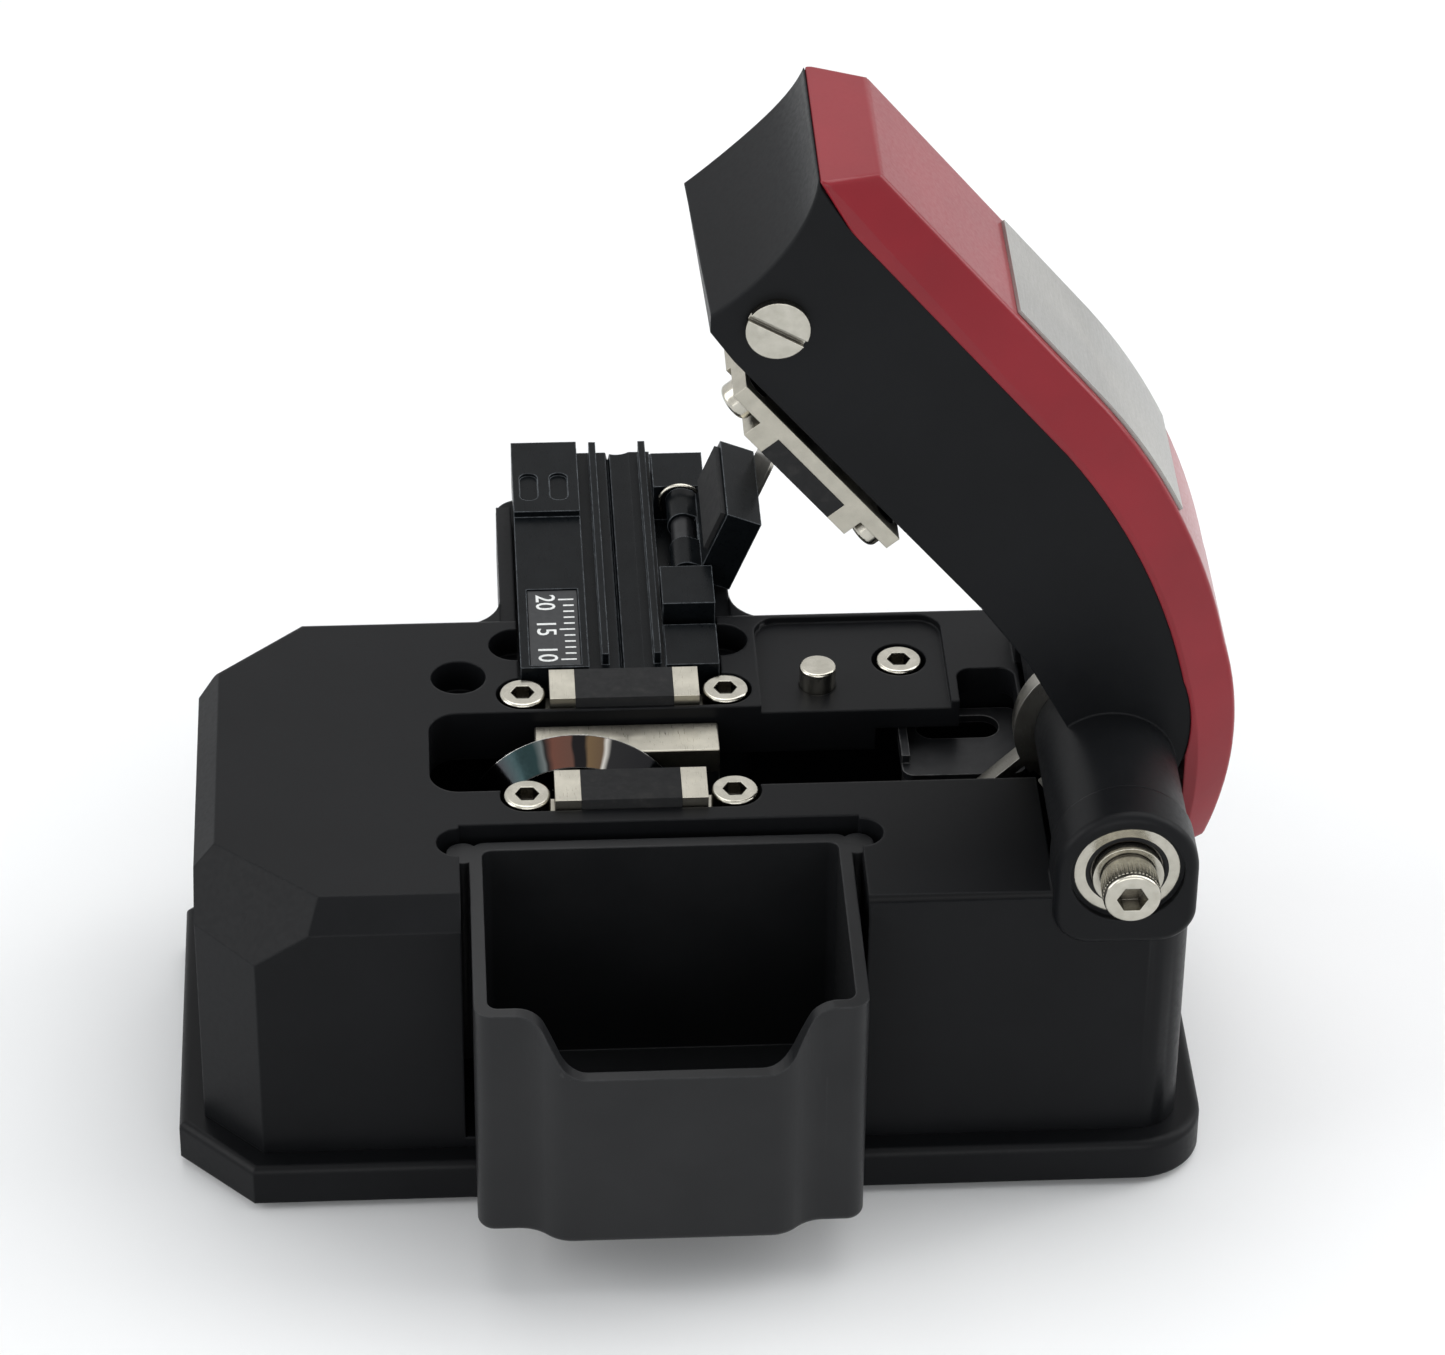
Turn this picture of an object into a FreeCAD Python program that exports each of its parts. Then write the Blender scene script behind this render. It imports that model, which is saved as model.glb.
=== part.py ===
import FreeCAD, Part
import math
import os
from FreeCAD import Vector

os.makedirs("parts", exist_ok=True)

# Fibre cleaver: a die-cast housing with a sprung blade carriage, a hinged lid arm that
# carries the upper clamps, a fibre holder behind and a lift-out scrap bin in front.
#
# Working frame, in millimetres: x = 0 is the fibre line, y = 0 the cutting plane and
# z = 0 the deck. finish() moves every piece to the row frame, whose origin is the middle
# of the underside of the rubber base pad. +X points to the hinge and +Y to the holder.

X_AXIS = Vector(1, 0, 0)
Y_AXIS = Vector(0, 1, 0)
Z_AXIS = Vector(0, 0, 1)

# ---------------------------------------------------------------- driving dimensions
# housing
body_left = 40.7            # fibre line to left wall
body_right = 51.0           # fibre line to right wall
body_front = 25.2           # cutting plane to front wall
body_back = 20.5            # cutting plane to back wall
body_height = 28.2          # deck to top of base plate
back_chamfer = (9.8, 9.2)   # plan chamfer at the back left corner
front_chamfer = (5.6, 5.7)  # plan chamfer at the front left corner
corner_radius = 4.0
left_bevel = 2.0
front_bevel = 2.6
edge_radius = 0.7
facet_side = 11.0           # corner facet: reach along the left edge
facet_front = 11.6          # corner facet: reach along the front edge
facet_drop = 5.8            # corner facet: depth down the corner
deck_thickness = 5.5
thin_deck = 3.0             # deck over the link plate
side_wall = 2.0

# base plate and pad
flange = 2.4
plate_thickness = 4.1
pad_thickness = 1.6
pad_proud = 0.8
pad_inset = (12.5, 6.5)     # base pad in from the plate's edge
base_screw_inset = 7.0

# running slot and chamber under the deck
slot_left = 18.75
slot_front = 7.3
slot_back = 5.1
slot_radius = 2.8
chamber_left = 22.0
chamber_front = 9.6
chamber_back = 10.4

# clamps either side of the cutting plane
clamp_offset = 8.04
clamp_width = 4.73
clamp_length = 14.25
clamp_top = 1.0
clamp_screw_x = 9.7
ear_radius = 2.4
ear_thickness = 1.2
rubber_length = 9.4
rubber_depth = 2.0
seat_gap = 0.2              # room round a piece set into the deck

# fasteners
m25_head_r = 2.2
m25_head_h = 2.5
m25_shank_r = 1.25
m25_socket = 2.0
m3_head_r = 2.6
m3_head_h = 3.0
m3_shank_r = 1.5
m3_socket = 2.5
boss_r = 2.6
boss_drop = 4.0
counterbore_r = 2.65

# hinge
axis_x = 44.4
axis_z = 2.9
cheek_radius = 6.6
cheek_thickness = 4.8
cheek_proud = 1.1
cheek_drop = 8.1            # hinge axis to the bottom of the front boss
rear_cheek_thickness = 5.3
hub_radius = 6.3
hub_room = 0.7
hub_back = 10.9
side_gap = 0.3
axle_radius = 2.5
running_gap = 0.05
bearing_radius = 4.85
bearing_width = 3.2
bearing_recess = 0.7
race_radius = 3.35
open_angle = 50.0

# lid arm and cover, drawn closed
arm_half = 10.0
arm_bottom = 5.2
arm_left = -17.2
lip = (-18.5, 6.7)
scoop_mid = (-17.9, 13.4)
grip_top = (-22.9, 22.4)
rim_z = 21.35
crown_z = 26.45
cover_half = 10.2
crown_half = 8.5
cover_wall = 1.8
tail_gap = 0.5

# upper clamps
float_travel = 0.6
closed_gap = 0.1
clamp_plate_length = 21.8
clamp_step = 1.9
carrier_thickness = 2.0
guide_radius = 1.5
guide_x = 8.6

# blade and carriage
blade_radius = 10.5
blade_thickness = 2.4
blade_face_radius = 8.4
blade_x = -5.0
blade_above = 0.9           # cutting edge above the deck
blade_screw_r = 1.55
rail_width = 7.0
rail_height = 5.5
shuttle_left = -14.0
shuttle_right = 38.0
shuttle_half = 5.0
shuttle_height = 6.6
shuttle_lift = 0.6
lever_lean = 45.0           # drive lever left of straight down when the lid is open
lever_width = 2.0
lever_y = -2.9
drive_drop = 9.15           # hinge axis down to the drive pin
drive_pin_r = 1.1
fork_play = 0.6             # each side of the pin, for the swing of the straight fork
fork_offset = -0.4
fork_prong = 1.0

# scrap bin
bin_centre = 2.4
bin_width = 35.4
bin_back = -13.5
bin_front = -39.0
bin_bulge = 2.0
bulge_width = 23.0
bulge_bend = 5.0            # run of each S bend beside the bulge
bin_corner = 1.6
bin_rim = -1.3
bin_bottom = -26.7
bin_wall = 1.2
bin_gap = 0.9
bin_notch = 6.0
bin_ear_r = 1.5
pocket_back = -12.4
pocket_floor = -27.0

# fibre holder
holder_left = -9.8
holder_right = 9.3
holder_front = 10.8
holder_back = 48.8
holder_bottom = -3.0
holder_top = 1.0
shelf_back = 45.5
shelf_drop = 11.0
shelf_side = 1.7
pin_x = 6.9
pin_z = 1.2
pin_radius = 0.7
flap_front = 25.5
flap_back = 38.5
flap_open = 112.0
flap_thickness = 3.6
flap_lift = 1.0

# ---------------------------------------------------------------- derived levels
pad_z = -body_height - plate_thickness - pad_proud
row_shift = Vector((body_left - body_right) / 2, (body_front - body_back) / 2, -pad_z)
hinge_front = -(body_front + cheek_proud)
hub_front = hinge_front + cheek_thickness + side_gap
rear_cheek_front = hub_back + side_gap
rear_cheek_back = rear_cheek_front + rear_cheek_thickness
pocket_left = bin_centre - bin_width / 2 - bin_gap
pocket_right = bin_centre + bin_width / 2 + bin_gap
chamber_right = body_right - side_wall
blade_z = blade_above - blade_radius
drive_z = axis_z - drive_drop
drive_x = axis_x - drive_drop * math.tan(math.radians(lever_lean))
carriage_travel = axis_x + drive_drop * math.tan(math.radians(open_angle - lever_lean)) - drive_x


# ---------------------------------------------------------------- shape helpers
def block(x0, x1, y0, y1, z0, z1):
    return Part.makeBox(x1 - x0, y1 - y0, z1 - z0, Vector(x0, y0, z0))


def rod_z(x, y, r, z0, z1):
    return Part.makeCylinder(r, z1 - z0, Vector(x, y, z0), Z_AXIS)


def rod_y(x, z, r, y0, y1):
    return Part.makeCylinder(r, y1 - y0, Vector(x, y0, z), Y_AXIS)


def ring_y(x, z, r_in, r_out, y0, y1):
    return rod_y(x, z, r_out, y0, y1).cut(rod_y(x, z, r_in, y0 - 1, y1 + 1))


def plan_prism(points, z0, z1):
    """Extrude a plan outline of (x, y) points from z0 to z1."""
    corners = [Vector(x, y, z0) for x, y in points]
    face = Part.Face(Part.makePolygon(corners + corners[:1]))
    return face.extrude(Vector(0, 0, z1 - z0))


def side_prism(points, y0, y1):
    """Extrude a side outline of (x, z) points from y0 to y1."""
    corners = [Vector(x, y0, z) for x, z in points]
    face = Part.Face(Part.makePolygon(corners + corners[:1]))
    return face.extrude(Vector(0, y1 - y0, 0))


def fillet_upright(shape, radius, wanted=lambda x, y: True):
    """Round the vertical edges that wanted(x, y) picks."""
    edges = []
    for edge in shape.Edges:
        if len(edge.Vertexes) != 2:
            continue
        a, b = edge.Vertexes[0].Point, edge.Vertexes[1].Point
        if math.hypot(a.x - b.x, a.y - b.y) < 1e-6 and abs(a.z - b.z) > 0.2 and wanted(a.x, a.y):
            edges.append(edge)
    return shape.makeFillet(radius, edges)


def fillet_level(shape, radius, z, wanted=lambda x, y: True):
    """Round the edges that lie at height z and whose middle wanted(x, y) picks."""
    edges = []
    for edge in shape.Edges:
        box = edge.BoundBox
        middle = edge.valueAt((edge.FirstParameter + edge.LastParameter) / 2)
        if abs(box.ZMin - z) < 1e-5 and abs(box.ZMax - z) < 1e-5 and wanted(middle.x, middle.y):
            edges.append(edge)
    return shape.makeFillet(radius, edges)


def rounded_block(x0, x1, y0, y1, z0, z1, radius):
    return fillet_upright(block(x0, x1, y0, y1, z0, z1), radius)


def half_space(point, normal, size):
    """A box whose bottom face passes through point, on the side normal points to."""
    box = Part.makeBox(size, size, size, Vector(-size / 2, -size / 2, 0))
    box.Placement = FreeCAD.Placement(point, FreeCAD.Rotation(Z_AXIS, normal))
    return box


def hex_socket(x, y, z_top, across, depth):
    corners = []
    for step in range(6):
        angle = math.radians(60 * step)
        corners.append((x + across / math.sqrt(3) * math.cos(angle), y + across / math.sqrt(3) * math.sin(angle)))
    return plan_prism(corners, z_top - depth, z_top + 1)


def cap_screw(x, y, seat, length, head_r=m25_head_r, head_h=m25_head_h, shank_r=m25_shank_r, socket=m25_socket):
    """Socket cap screw standing on its seat, with its shank pointing down."""
    head = rod_z(x, y, head_r, seat, seat + head_h)
    head = fillet_level(head, 0.3, seat + head_h)
    head = head.cut(hex_socket(x, y, seat + head_h, socket, head_h * 0.55))
    return head.fuse(rod_z(x, y, shank_r, seat - length, seat))


def about_hinge(shape, degrees):
    """Turn a shape about the lid axis; positive lifts the lid."""
    turned = shape.copy()
    turned.rotate(Vector(axis_x, 0, axis_z), Y_AXIS, degrees)
    return turned


def open_flap(shape):
    turned = shape.copy()
    turned.rotate(Vector(pin_x, 0, pin_z), Y_AXIS, flap_open)
    return turned


def finish(name, shape):
    """Move a piece to the row frame and write its node."""
    solids = shape.Solids
    moved = solids[0] if len(solids) == 1 else Part.Compound(solids)
    moved = moved.copy()
    moved.translate(row_shift)
    moved.exportStep("parts/%s.step" % name)
    print("%-22s solids %d  volume %.1f  valid %s" % (name, len(solids), moved.Volume, moved.isValid()))


# ---------------------------------------------------------------- base housing
def body_outline(grow):
    """Plan outline of the housing, or of the plate that stands out by grow."""
    left, right = -body_left - grow, body_right + grow
    front, back = -body_front - grow, body_back + grow
    slant = grow * 0.6
    return [
        (left + front_chamfer[0] + slant, front),
        (right, front),
        (right, back),
        (left + back_chamfer[0] + slant, back),
        (left, back - back_chamfer[1] - slant),
        (left, front + front_chamfer[1] + slant),
    ]


def housing_block():
    shape = plan_prism(body_outline(0), -body_height, 0)
    shape = fillet_upright(shape, corner_radius, lambda x, y: x > 0)
    shape = fillet_level(shape, edge_radius, 0, lambda x, y: x > -body_left + 1)
    left_cut = side_prism(
        [(-body_left - 1, 1), (-body_left - 1, -left_bevel - 1), (-body_left + left_bevel + 1, 1)],
        -body_front - 1,
        body_back + 1,
    )
    front_cut = half_space(Vector(0, -body_front, -front_bevel), Vector(0, -1, 1), 60)
    front_cut = front_cut.common(block(-body_left - 5, pocket_left + 1, -body_front - 20, 0, -20, 20))
    edge_a = Vector(-body_left + left_bevel, -body_front + facet_side, 0)
    edge_b = Vector(-body_left + facet_front, -body_front + front_bevel, 0)
    edge_c = Vector(-body_left + front_chamfer[0], -body_front, -facet_drop)
    normal = (edge_c - edge_a).cross(edge_b - edge_a)
    facet = half_space(edge_a, normal, 40)
    return shape.cut(left_cut).cut(front_cut).cut(facet)


def cheek(y0, y1, bottom):
    """Upright ear with a round top about the hinge axis."""
    ear = block(axis_x - cheek_radius, axis_x + cheek_radius, y0, y1, bottom, axis_z)
    return ear.fuse(rod_y(axis_x, axis_z, cheek_radius, y0, y1)).removeSplitter()


def front_boss():
    ear = cheek(hinge_front, hinge_front + cheek_thickness, axis_z - cheek_drop)
    low = [
        edge
        for edge in ear.Edges
        if abs(edge.BoundBox.ZMax - (axis_z - cheek_drop)) < 1e-5 and edge.BoundBox.YLength > 1
    ]
    return ear.makeFillet(3.6, low)


def shelf():
    """Tongue behind the housing that carries the fibre holder."""
    left = holder_left - shelf_side
    right = holder_right + shelf_side
    top = holder_bottom
    tongue = block(left, right, body_back - 6, shelf_back, top - shelf_drop, top)
    under = half_space(Vector(0, body_back + 3, top - shelf_drop), Vector(0, 0.28, -1), 90)
    tongue = tongue.cut(under)
    tongue = fillet_upright(tongue, 2.5, lambda x, y: y > body_back)
    rails = block(left, holder_left - seat_gap, body_back - 1, shelf_back - 4, top, -1.2)
    rails = rails.fuse(block(holder_right + seat_gap, right, body_back - 1, shelf_back - 4, top, -1.2))
    web_left = shelf_web(left, -1)
    web_right = shelf_web(right, 1)
    return tongue.fuse(rails).fuse(web_left).fuse(web_right)


def shelf_web(x, side):
    """Curved gusset between the housing's back wall and the shelf."""
    size = 4.2
    square = block(min(x, x + side * size), max(x, x + side * size), body_back, body_back + size, -12.0, -edge_radius)
    return square.cut(rod_z(x + side * size, body_back + size, size, -13, 1))


def clamp_seat(y):
    """Recess in the deck for one clamp's foot plate."""
    half = clamp_width / 2 + seat_gap
    floor = clamp_top - clamp_height()
    pocket = block(-clamp_screw_x, clamp_screw_x, y - half, y + half, floor, 1)
    for side in (-1, 1):
        pocket = pocket.fuse(rod_z(side * clamp_screw_x, y, half, floor, 1))
    return pocket


def clamp_height():
    return clamp_top - 0.15 + m25_head_h + ear_thickness


def clamp_seat_level():
    return clamp_top - clamp_height()


def screw_points():
    """The four clamp screws, in plan."""
    return [(sx * clamp_screw_x, sy * clamp_offset) for sx in (-1, 1) for sy in (-1, 1)]


def base_screw_points():
    reach = base_screw_inset
    return [
        (-body_left + reach, -body_front + reach + 1.5),
        (-body_left + reach, body_back - reach - 5.5),
        (body_right - reach, -body_front + reach),
        (body_right - reach, body_back - reach + 2.0),
    ]


holder_pocket_left = holder_left - seat_gap
holder_pocket_right = holder_right + seat_gap


def make_housing():
    shape = housing_block()
    shape = shape.fuse(front_boss())
    shape = shape.fuse(cheek(rear_cheek_front, rear_cheek_back, -4))
    shape = shape.fuse(shelf())
    # running slot, chamber and hinge room
    slot = rounded_block(-slot_left, axis_x, -slot_front, slot_back, -body_height, 2, slot_radius)
    chamber = block(
        -chamber_left, chamber_right, -chamber_front, chamber_back, -body_height - 1, -deck_thickness
    )
    link_room = block(24.0, chamber_right, -chamber_front, chamber_back, -deck_thickness - 1, -thin_deck)
    hinge_room = rod_y(axis_x, axis_z, hub_radius + hub_room, hub_front - side_gap, hub_back + side_gap)
    hinge_side = block(
        axis_x, body_right + 5, hub_front - side_gap, hub_back + side_gap, axis_z - hub_radius - hub_room, 1
    )
    link_window = rounded_block(32.0, 37.6, slot_back - 3, chamber_back, -thin_deck - 1, 1, 1.5)
    shape = shape.cut(slot).cut(chamber).cut(link_room).cut(hinge_room).cut(hinge_side).cut(link_window)
    # posts for the clamp screws
    for x, y in screw_points():
        shape = shape.fuse(rod_z(x, y, boss_r, -deck_thickness - boss_drop, -deck_thickness))
    # bin pocket with its two ear grooves
    pocket = block(pocket_left, pocket_right, -body_front - 5, pocket_back, pocket_floor, 2)
    for x in (pocket_left, pocket_right):
        pocket = pocket.fuse(rod_z(x, bin_back - bin_ear_r, bin_ear_r + 0.6, pocket_floor, 2))
    shape = shape.cut(pocket)
    # deck recesses: clamps, holder, panel
    for y in (-clamp_offset, clamp_offset):
        shape = shape.cut(clamp_seat(y))
    bed = block(
        holder_pocket_left, holder_pocket_right, clamp_offset + 1, shelf_back + 5, holder_bottom, 3
    )
    for x in (holder_pocket_left - 0.2, holder_pocket_right + 0.2):
        bed = bed.fuse(rod_z(x, 16.1, 2.6, holder_bottom, 3))
    shape = shape.cut(bed)
    panel = rounded_block(13.0, 31.2, slot_back - 3, body_back - 0.9, -0.8, 1, 2.4)
    shape = shape.cut(panel)
    # screw and pin holes
    for x, y in screw_points():
        shape = shape.cut(rod_z(x, y, m25_shank_r, -deck_thickness - boss_drop - 1, 0))
    shape = shape.cut(rod_z(stop_pin_at[0], stop_pin_at[1], stop_pin_r, -6, 1))
    shape = shape.cut(rod_z(panel_screw_at[0], panel_screw_at[1], counterbore_r, -3.2, 1))
    shape = shape.cut(rod_z(panel_screw_at[0], panel_screw_at[1], m25_shank_r, -9.2, 0))
    shape = shape.cut(rod_z(-15.8, 10.9, counterbore_r, -3.4, 1))
    shape = shape.cut(rod_z(-15.8, 10.9, m25_shank_r, -7.4, 1))
    for x, y in base_screw_points():
        shape = shape.cut(rod_z(x, y, m3_shank_r, -body_height - 1, -body_height + 7))
    # hinge bores
    shape = shape.cut(bearing_bore(hinge_front, 1))
    shape = shape.cut(bearing_bore(rear_cheek_back, -1))
    for x, y in magnet_points():
        shape = shape.cut(rod_z(x, y, magnet_r, holder_bottom - magnet_h, holder_bottom + 1))
    return shape


def bearing_bore(face, inward):
    """Mouth, bearing seat and clearance bore of one cheek."""
    mouth = ordered_rod(face - inward, face + inward * bearing_recess, bearing_radius + 0.4)
    seat = ordered_rod(face - inward, face + inward * (bearing_recess + bearing_width), bearing_radius)
    through = ordered_rod(face - inward, face + inward * 12, race_radius + 0.15)
    limit = block(
        axis_x - 10,
        axis_x + 10,
        min(face - inward, face + inward * 5.5),
        max(face - inward, face + inward * 5.5),
        axis_z - 10,
        axis_z + 10,
    )
    return mouth.fuse(seat).fuse(through.common(limit))


def ordered_rod(ya, yb, radius):
    return rod_y(axis_x, axis_z, radius, min(ya, yb), max(ya, yb))


stop_pin_at = (18.65, 9.4)
stop_pin_r = 1.75
stop_pin_top = 1.5
panel_screw_at = (26.8, 13.2)
magnet_r = 2.5
magnet_h = 2.0


def magnet_points():
    return [(-6.0, 40.0), (-6.0, 28.0)]


# ---------------------------------------------------------------- base plate and pad
def make_base_plate():
    bottom = -body_height - plate_thickness
    shape = plan_prism(body_outline(flange), bottom, -body_height)
    shape = fillet_upright(shape, corner_radius + flange, lambda x, y: x > 0)
    shape = fillet_level(shape, 0.8, -body_height)
    pad_room = rounded_block(*pad_outline(), bottom - 1, bottom + pad_thickness - pad_proud, 3.0)
    shape = shape.cut(pad_room)
    for x, y in base_screw_points():
        shape = shape.cut(rod_z(x, y, m3_shank_r, bottom - 1, -body_height + 1))
        shape = shape.cut(countersink(x, y, bottom))
    return shape


def pad_outline():
    return (
        -body_left - flange + pad_inset[0],
        body_right + flange - pad_inset[0],
        -body_front - flange + pad_inset[1],
        body_back + flange - pad_inset[1],
    )


def countersink(x, y, bottom):
    return Part.makeCone(m3_head_r + 0.2, m3_shank_r, 1.8, Vector(x, y, bottom), Z_AXIS)


def make_base_pad():
    bottom = -body_height - plate_thickness
    return rounded_block(*pad_outline(), pad_z, bottom + pad_thickness - pad_proud, 3.0)


def make_base_screws():
    bottom = -body_height - plate_thickness
    screws = []
    for x, y in base_screw_points():
        head = countersink(x, y, bottom)
        socket = rod_z(x, y, 0.9, bottom - 1, bottom + 1.1)
        screws.append(head.fuse(rod_z(x, y, m3_shank_r, bottom, -body_height + 6)).cut(socket))
    return Part.Compound(screws)


# ---------------------------------------------------------------- lower clamps
def make_lower_clamp(y):
    half = clamp_width / 2
    floor = clamp_seat_level()
    foot = block(-clamp_screw_x, clamp_screw_x, y - half, y + half, floor, floor + ear_thickness)
    for side in (-1, 1):
        foot = foot.fuse(rod_z(side * clamp_screw_x, y, half, floor, floor + ear_thickness))
    jaw = block(-clamp_length / 2, clamp_length / 2, y - half, y + half, floor, clamp_top)
    rubber = lower_rubber_block(y)
    shape = foot.fuse(jaw).removeSplitter().cut(rubber)
    for side in (-1, 1):
        shape = shape.cut(rod_z(side * clamp_screw_x, y, m25_shank_r + 0.1, floor - 1, 0))
    return shape


def lower_rubber_block(y):
    half = clamp_width / 2
    return block(-rubber_length / 2, rubber_length / 2, y - half, y + half, clamp_top - rubber_depth, clamp_top)


def make_clamp_screws():
    seat = clamp_seat_level() + ear_thickness
    return Part.Compound([cap_screw(x, y, seat, 8.0) for x, y in screw_points()])


def make_stop_pin():
    pin = rod_z(stop_pin_at[0], stop_pin_at[1], stop_pin_r, -5.5, stop_pin_top)
    return fillet_level(pin, 0.25, stop_pin_top)


def make_panel_screw():
    return cap_screw(panel_screw_at[0], panel_screw_at[1], -3.2, 6.0)


# ---------------------------------------------------------------- hinge
def make_axle():
    front = hinge_front - 0.6
    back = rear_cheek_back + 0.4
    axle = rod_y(axis_x, axis_z, axle_radius, front, back)
    axle = axle.cut(rod_y(axis_x, axis_z, m3_shank_r, front - 1, front + 9))
    return axle


def make_bearings():
    rings = []
    for face, inward in ((hinge_front, 1), (rear_cheek_back, -1)):
        outer = face + inward * bearing_recess
        inner = outer + inward * bearing_width
        low, high = min(outer, inner), max(outer, inner)
        rings.append(ring_y(axis_x, axis_z, race_radius + 0.35, bearing_radius, low, high))
        rings.append(ring_y(axis_x, axis_z, race_radius, race_radius + 0.35, low + 0.3, high - 0.3))
        rings.append(ring_y(axis_x, axis_z, axle_radius, race_radius, low + 0.2, high))
    return Part.Compound(rings)


def make_axle_screw():
    face = hinge_front - 0.6
    screw = cap_screw(0, 0, 0, 8.0, m3_head_r, m3_head_h, m3_shank_r, m3_socket)
    screw.rotate(Vector(0, 0, 0), X_AXIS, 90)
    screw.translate(Vector(axis_x, face, axis_z))
    return screw


def make_axle_spacer():
    front = hinge_front - 0.3
    return ring_y(axis_x, axis_z, axle_radius, race_radius - 0.1, front, hinge_front + bearing_recess + 0.2)


def make_axle_clip():
    inner = rear_cheek_back - bearing_recess
    ring = ring_y(axis_x, axis_z, axle_radius, race_radius - 0.1, inner, inner + 0.8)
    gap = block(axis_x - 1.0, axis_x + 1.0, inner - 1, inner + 2, axis_z - 5, axis_z)
    return ring.cut(gap)


# ---------------------------------------------------------------- rail and carriage
rail_left = -20.5
rail_right = 47.5


def make_rail():
    top = -body_height + rail_height
    foot = block(rail_left, rail_right, -rail_width / 2, rail_width / 2, -body_height, top)
    for side in (-1, 1):
        groove = block(
            rail_left - 1,
            rail_right + 1,
            min(side * rail_width / 2, side * (rail_width / 2 - 1.0)),
            max(side * rail_width / 2, side * (rail_width / 2 - 1.0)),
            -body_height + 1.8,
            -body_height + 3.4,
        )
        foot = foot.cut(groove)
    for x in rail_screw_points():
        foot = foot.cut(rod_z(x, 0, m25_head_r + 0.1, top - m25_head_h - 0.2, top + 1))
        foot = foot.cut(rod_z(x, 0, m25_shank_r, -body_height - 1, top))
    return foot


def rail_screw_points():
    return [-17.0, 13.0, 43.0]


def make_rail_screws():
    top = -body_height + rail_height
    return Part.Compound([cap_screw(x, 0, top - m25_head_h - 0.2, 2.8) for x in rail_screw_points()])


def make_shuttle():
    """Carriage block that straddles the rail."""
    low = -body_height + shuttle_lift
    high = low + shuttle_height
    gap = 0.1
    shape = block(shuttle_left, shuttle_right, -shuttle_half, shuttle_half, low, high)
    over_rail = block(
        shuttle_left - 1,
        shuttle_right + 1,
        -rail_width / 2 - gap,
        rail_width / 2 + gap,
        low - 1,
        -body_height + rail_height + gap,
    )
    shape = shape.cut(over_rail)
    shape = fillet_upright(shape, 0.8, lambda x, y: abs(y) > shuttle_half - 0.1)
    return shape


shuttle_top = -body_height + shuttle_lift + shuttle_height


def make_blade_bracket():
    """Upright behind the blade, with the boss that the blade turns on."""
    upright = block(blade_x - 5.0, 8.8, 0.5, 3.2, shuttle_top, -4.2)
    upright = upright.cut(half_space(Vector(blade_x - 5.0, 0, -8.5), Vector(-1, 0, 0.8), 30))
    boss = rod_y(blade_x, blade_z, 3.2, 0.1, 0.5)
    foot = block(blade_x - 5.0, 8.8, 3.2, shuttle_half - 0.3, shuttle_top, shuttle_top + 2.0)
    shape = upright.fuse(boss).fuse(foot).removeSplitter()
    shape = shape.cut(rod_y(blade_x, blade_z, blade_screw_r, -5, 6))
    window = rounded_side_window(2.2, 6.6, -16.0, -7.5, 0, 4)
    return shape.cut(window)


def rounded_side_window(x0, x1, z0, z1, y0, y1):
    """Lightening hole with round ends, through an upright plate."""
    r = (x1 - x0) / 2
    middle = block(x0, x1, y0, y1, z0 + r, z1 - r)
    return middle.fuse(rod_y(x0 + r, z0 + r, r, y0, y1)).fuse(rod_y(x0 + r, z1 - r, r, y0, y1))


def make_steel_bar():
    return block(-8.7, 8.8, 1.9, 4.7, -4.2, -1.5)


def make_blade():
    """Cutting wheel: flat back, bevel towards the front and a shallow front recess."""
    profile = [
        Vector(blade_screw_r + running_gap, 0, 0),
        Vector(blade_radius, 0, 0),
        Vector(blade_face_radius, -blade_thickness, 0),
        Vector(6.2, -blade_thickness, 0),
        Vector(5.8, -blade_thickness + 0.5, 0),
        Vector(blade_screw_r + running_gap, -blade_thickness + 0.5, 0),
    ]
    face = Part.Face(Part.makePolygon(profile + profile[:1]))
    wheel = face.revolve(Vector(0, 0, 0), Y_AXIS, 360)
    wheel.translate(Vector(blade_x, 0, blade_z))
    return wheel


def make_blade_screw():
    front = -blade_thickness + 0.4
    head = rod_y(blade_x, blade_z, 3.0, front - 1.5, front)
    shank = rod_y(blade_x, blade_z, blade_screw_r, front, 3.2)
    slot = block(blade_x - 4, blade_x + 4, front - 2, front - 0.9, blade_z - 0.35, blade_z + 0.35)
    return head.fuse(shank).cut(slot)


def make_drive_post():
    """Post on the carriage that holds the drive pin and props the link plate."""
    half = drive_pin_r + 0.6
    post = block(drive_x - half, drive_x + half, lever_y + lever_width / 2 + side_gap, 2.6, shuttle_top, link_z - link_sheet)
    return post.cut(rod_y(drive_x, drive_z, drive_pin_r, -5, 1.0))


def make_drive_pin():
    return rod_y(drive_x, drive_z, drive_pin_r, lever_y - lever_width / 2 - 0.4, 1.0)


link_z = -4.2
link_sheet = 0.8


def make_link_plate():
    """Bent sheet: a level plate with an oval hole, on a leg down to the carriage."""
    left, right = 26.2, 38.0
    top = rounded_block(left, right, -1.0, 9.6, link_z - link_sheet, link_z, 1.2)
    oval = rounded_block(28.0, 36.0, 4.8, 9.0 - 0.6, link_z - 2, link_z + 1, 1.7)
    top = top.cut(oval)
    lip_up = block(left, left + link_sheet, 1.0, 8.6, link_z - link_sheet, link_z + 0.9)
    leg = block(left + 0.4, left + 0.4 + link_sheet, -0.4, 4.4, shuttle_top, link_z - link_sheet / 2)
    toe = block(left - 4.0, left + 0.4 + link_sheet, -0.4, 4.4, shuttle_top, shuttle_top + link_sheet)
    return top.fuse(lip_up).fuse(leg).fuse(toe).removeSplitter()


def make_link_screw():
    return cap_screw(24.2, 2.0, shuttle_top + link_sheet, 0.1, m25_head_r - 0.4, 1.4, 1.0, 1.5)


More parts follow.
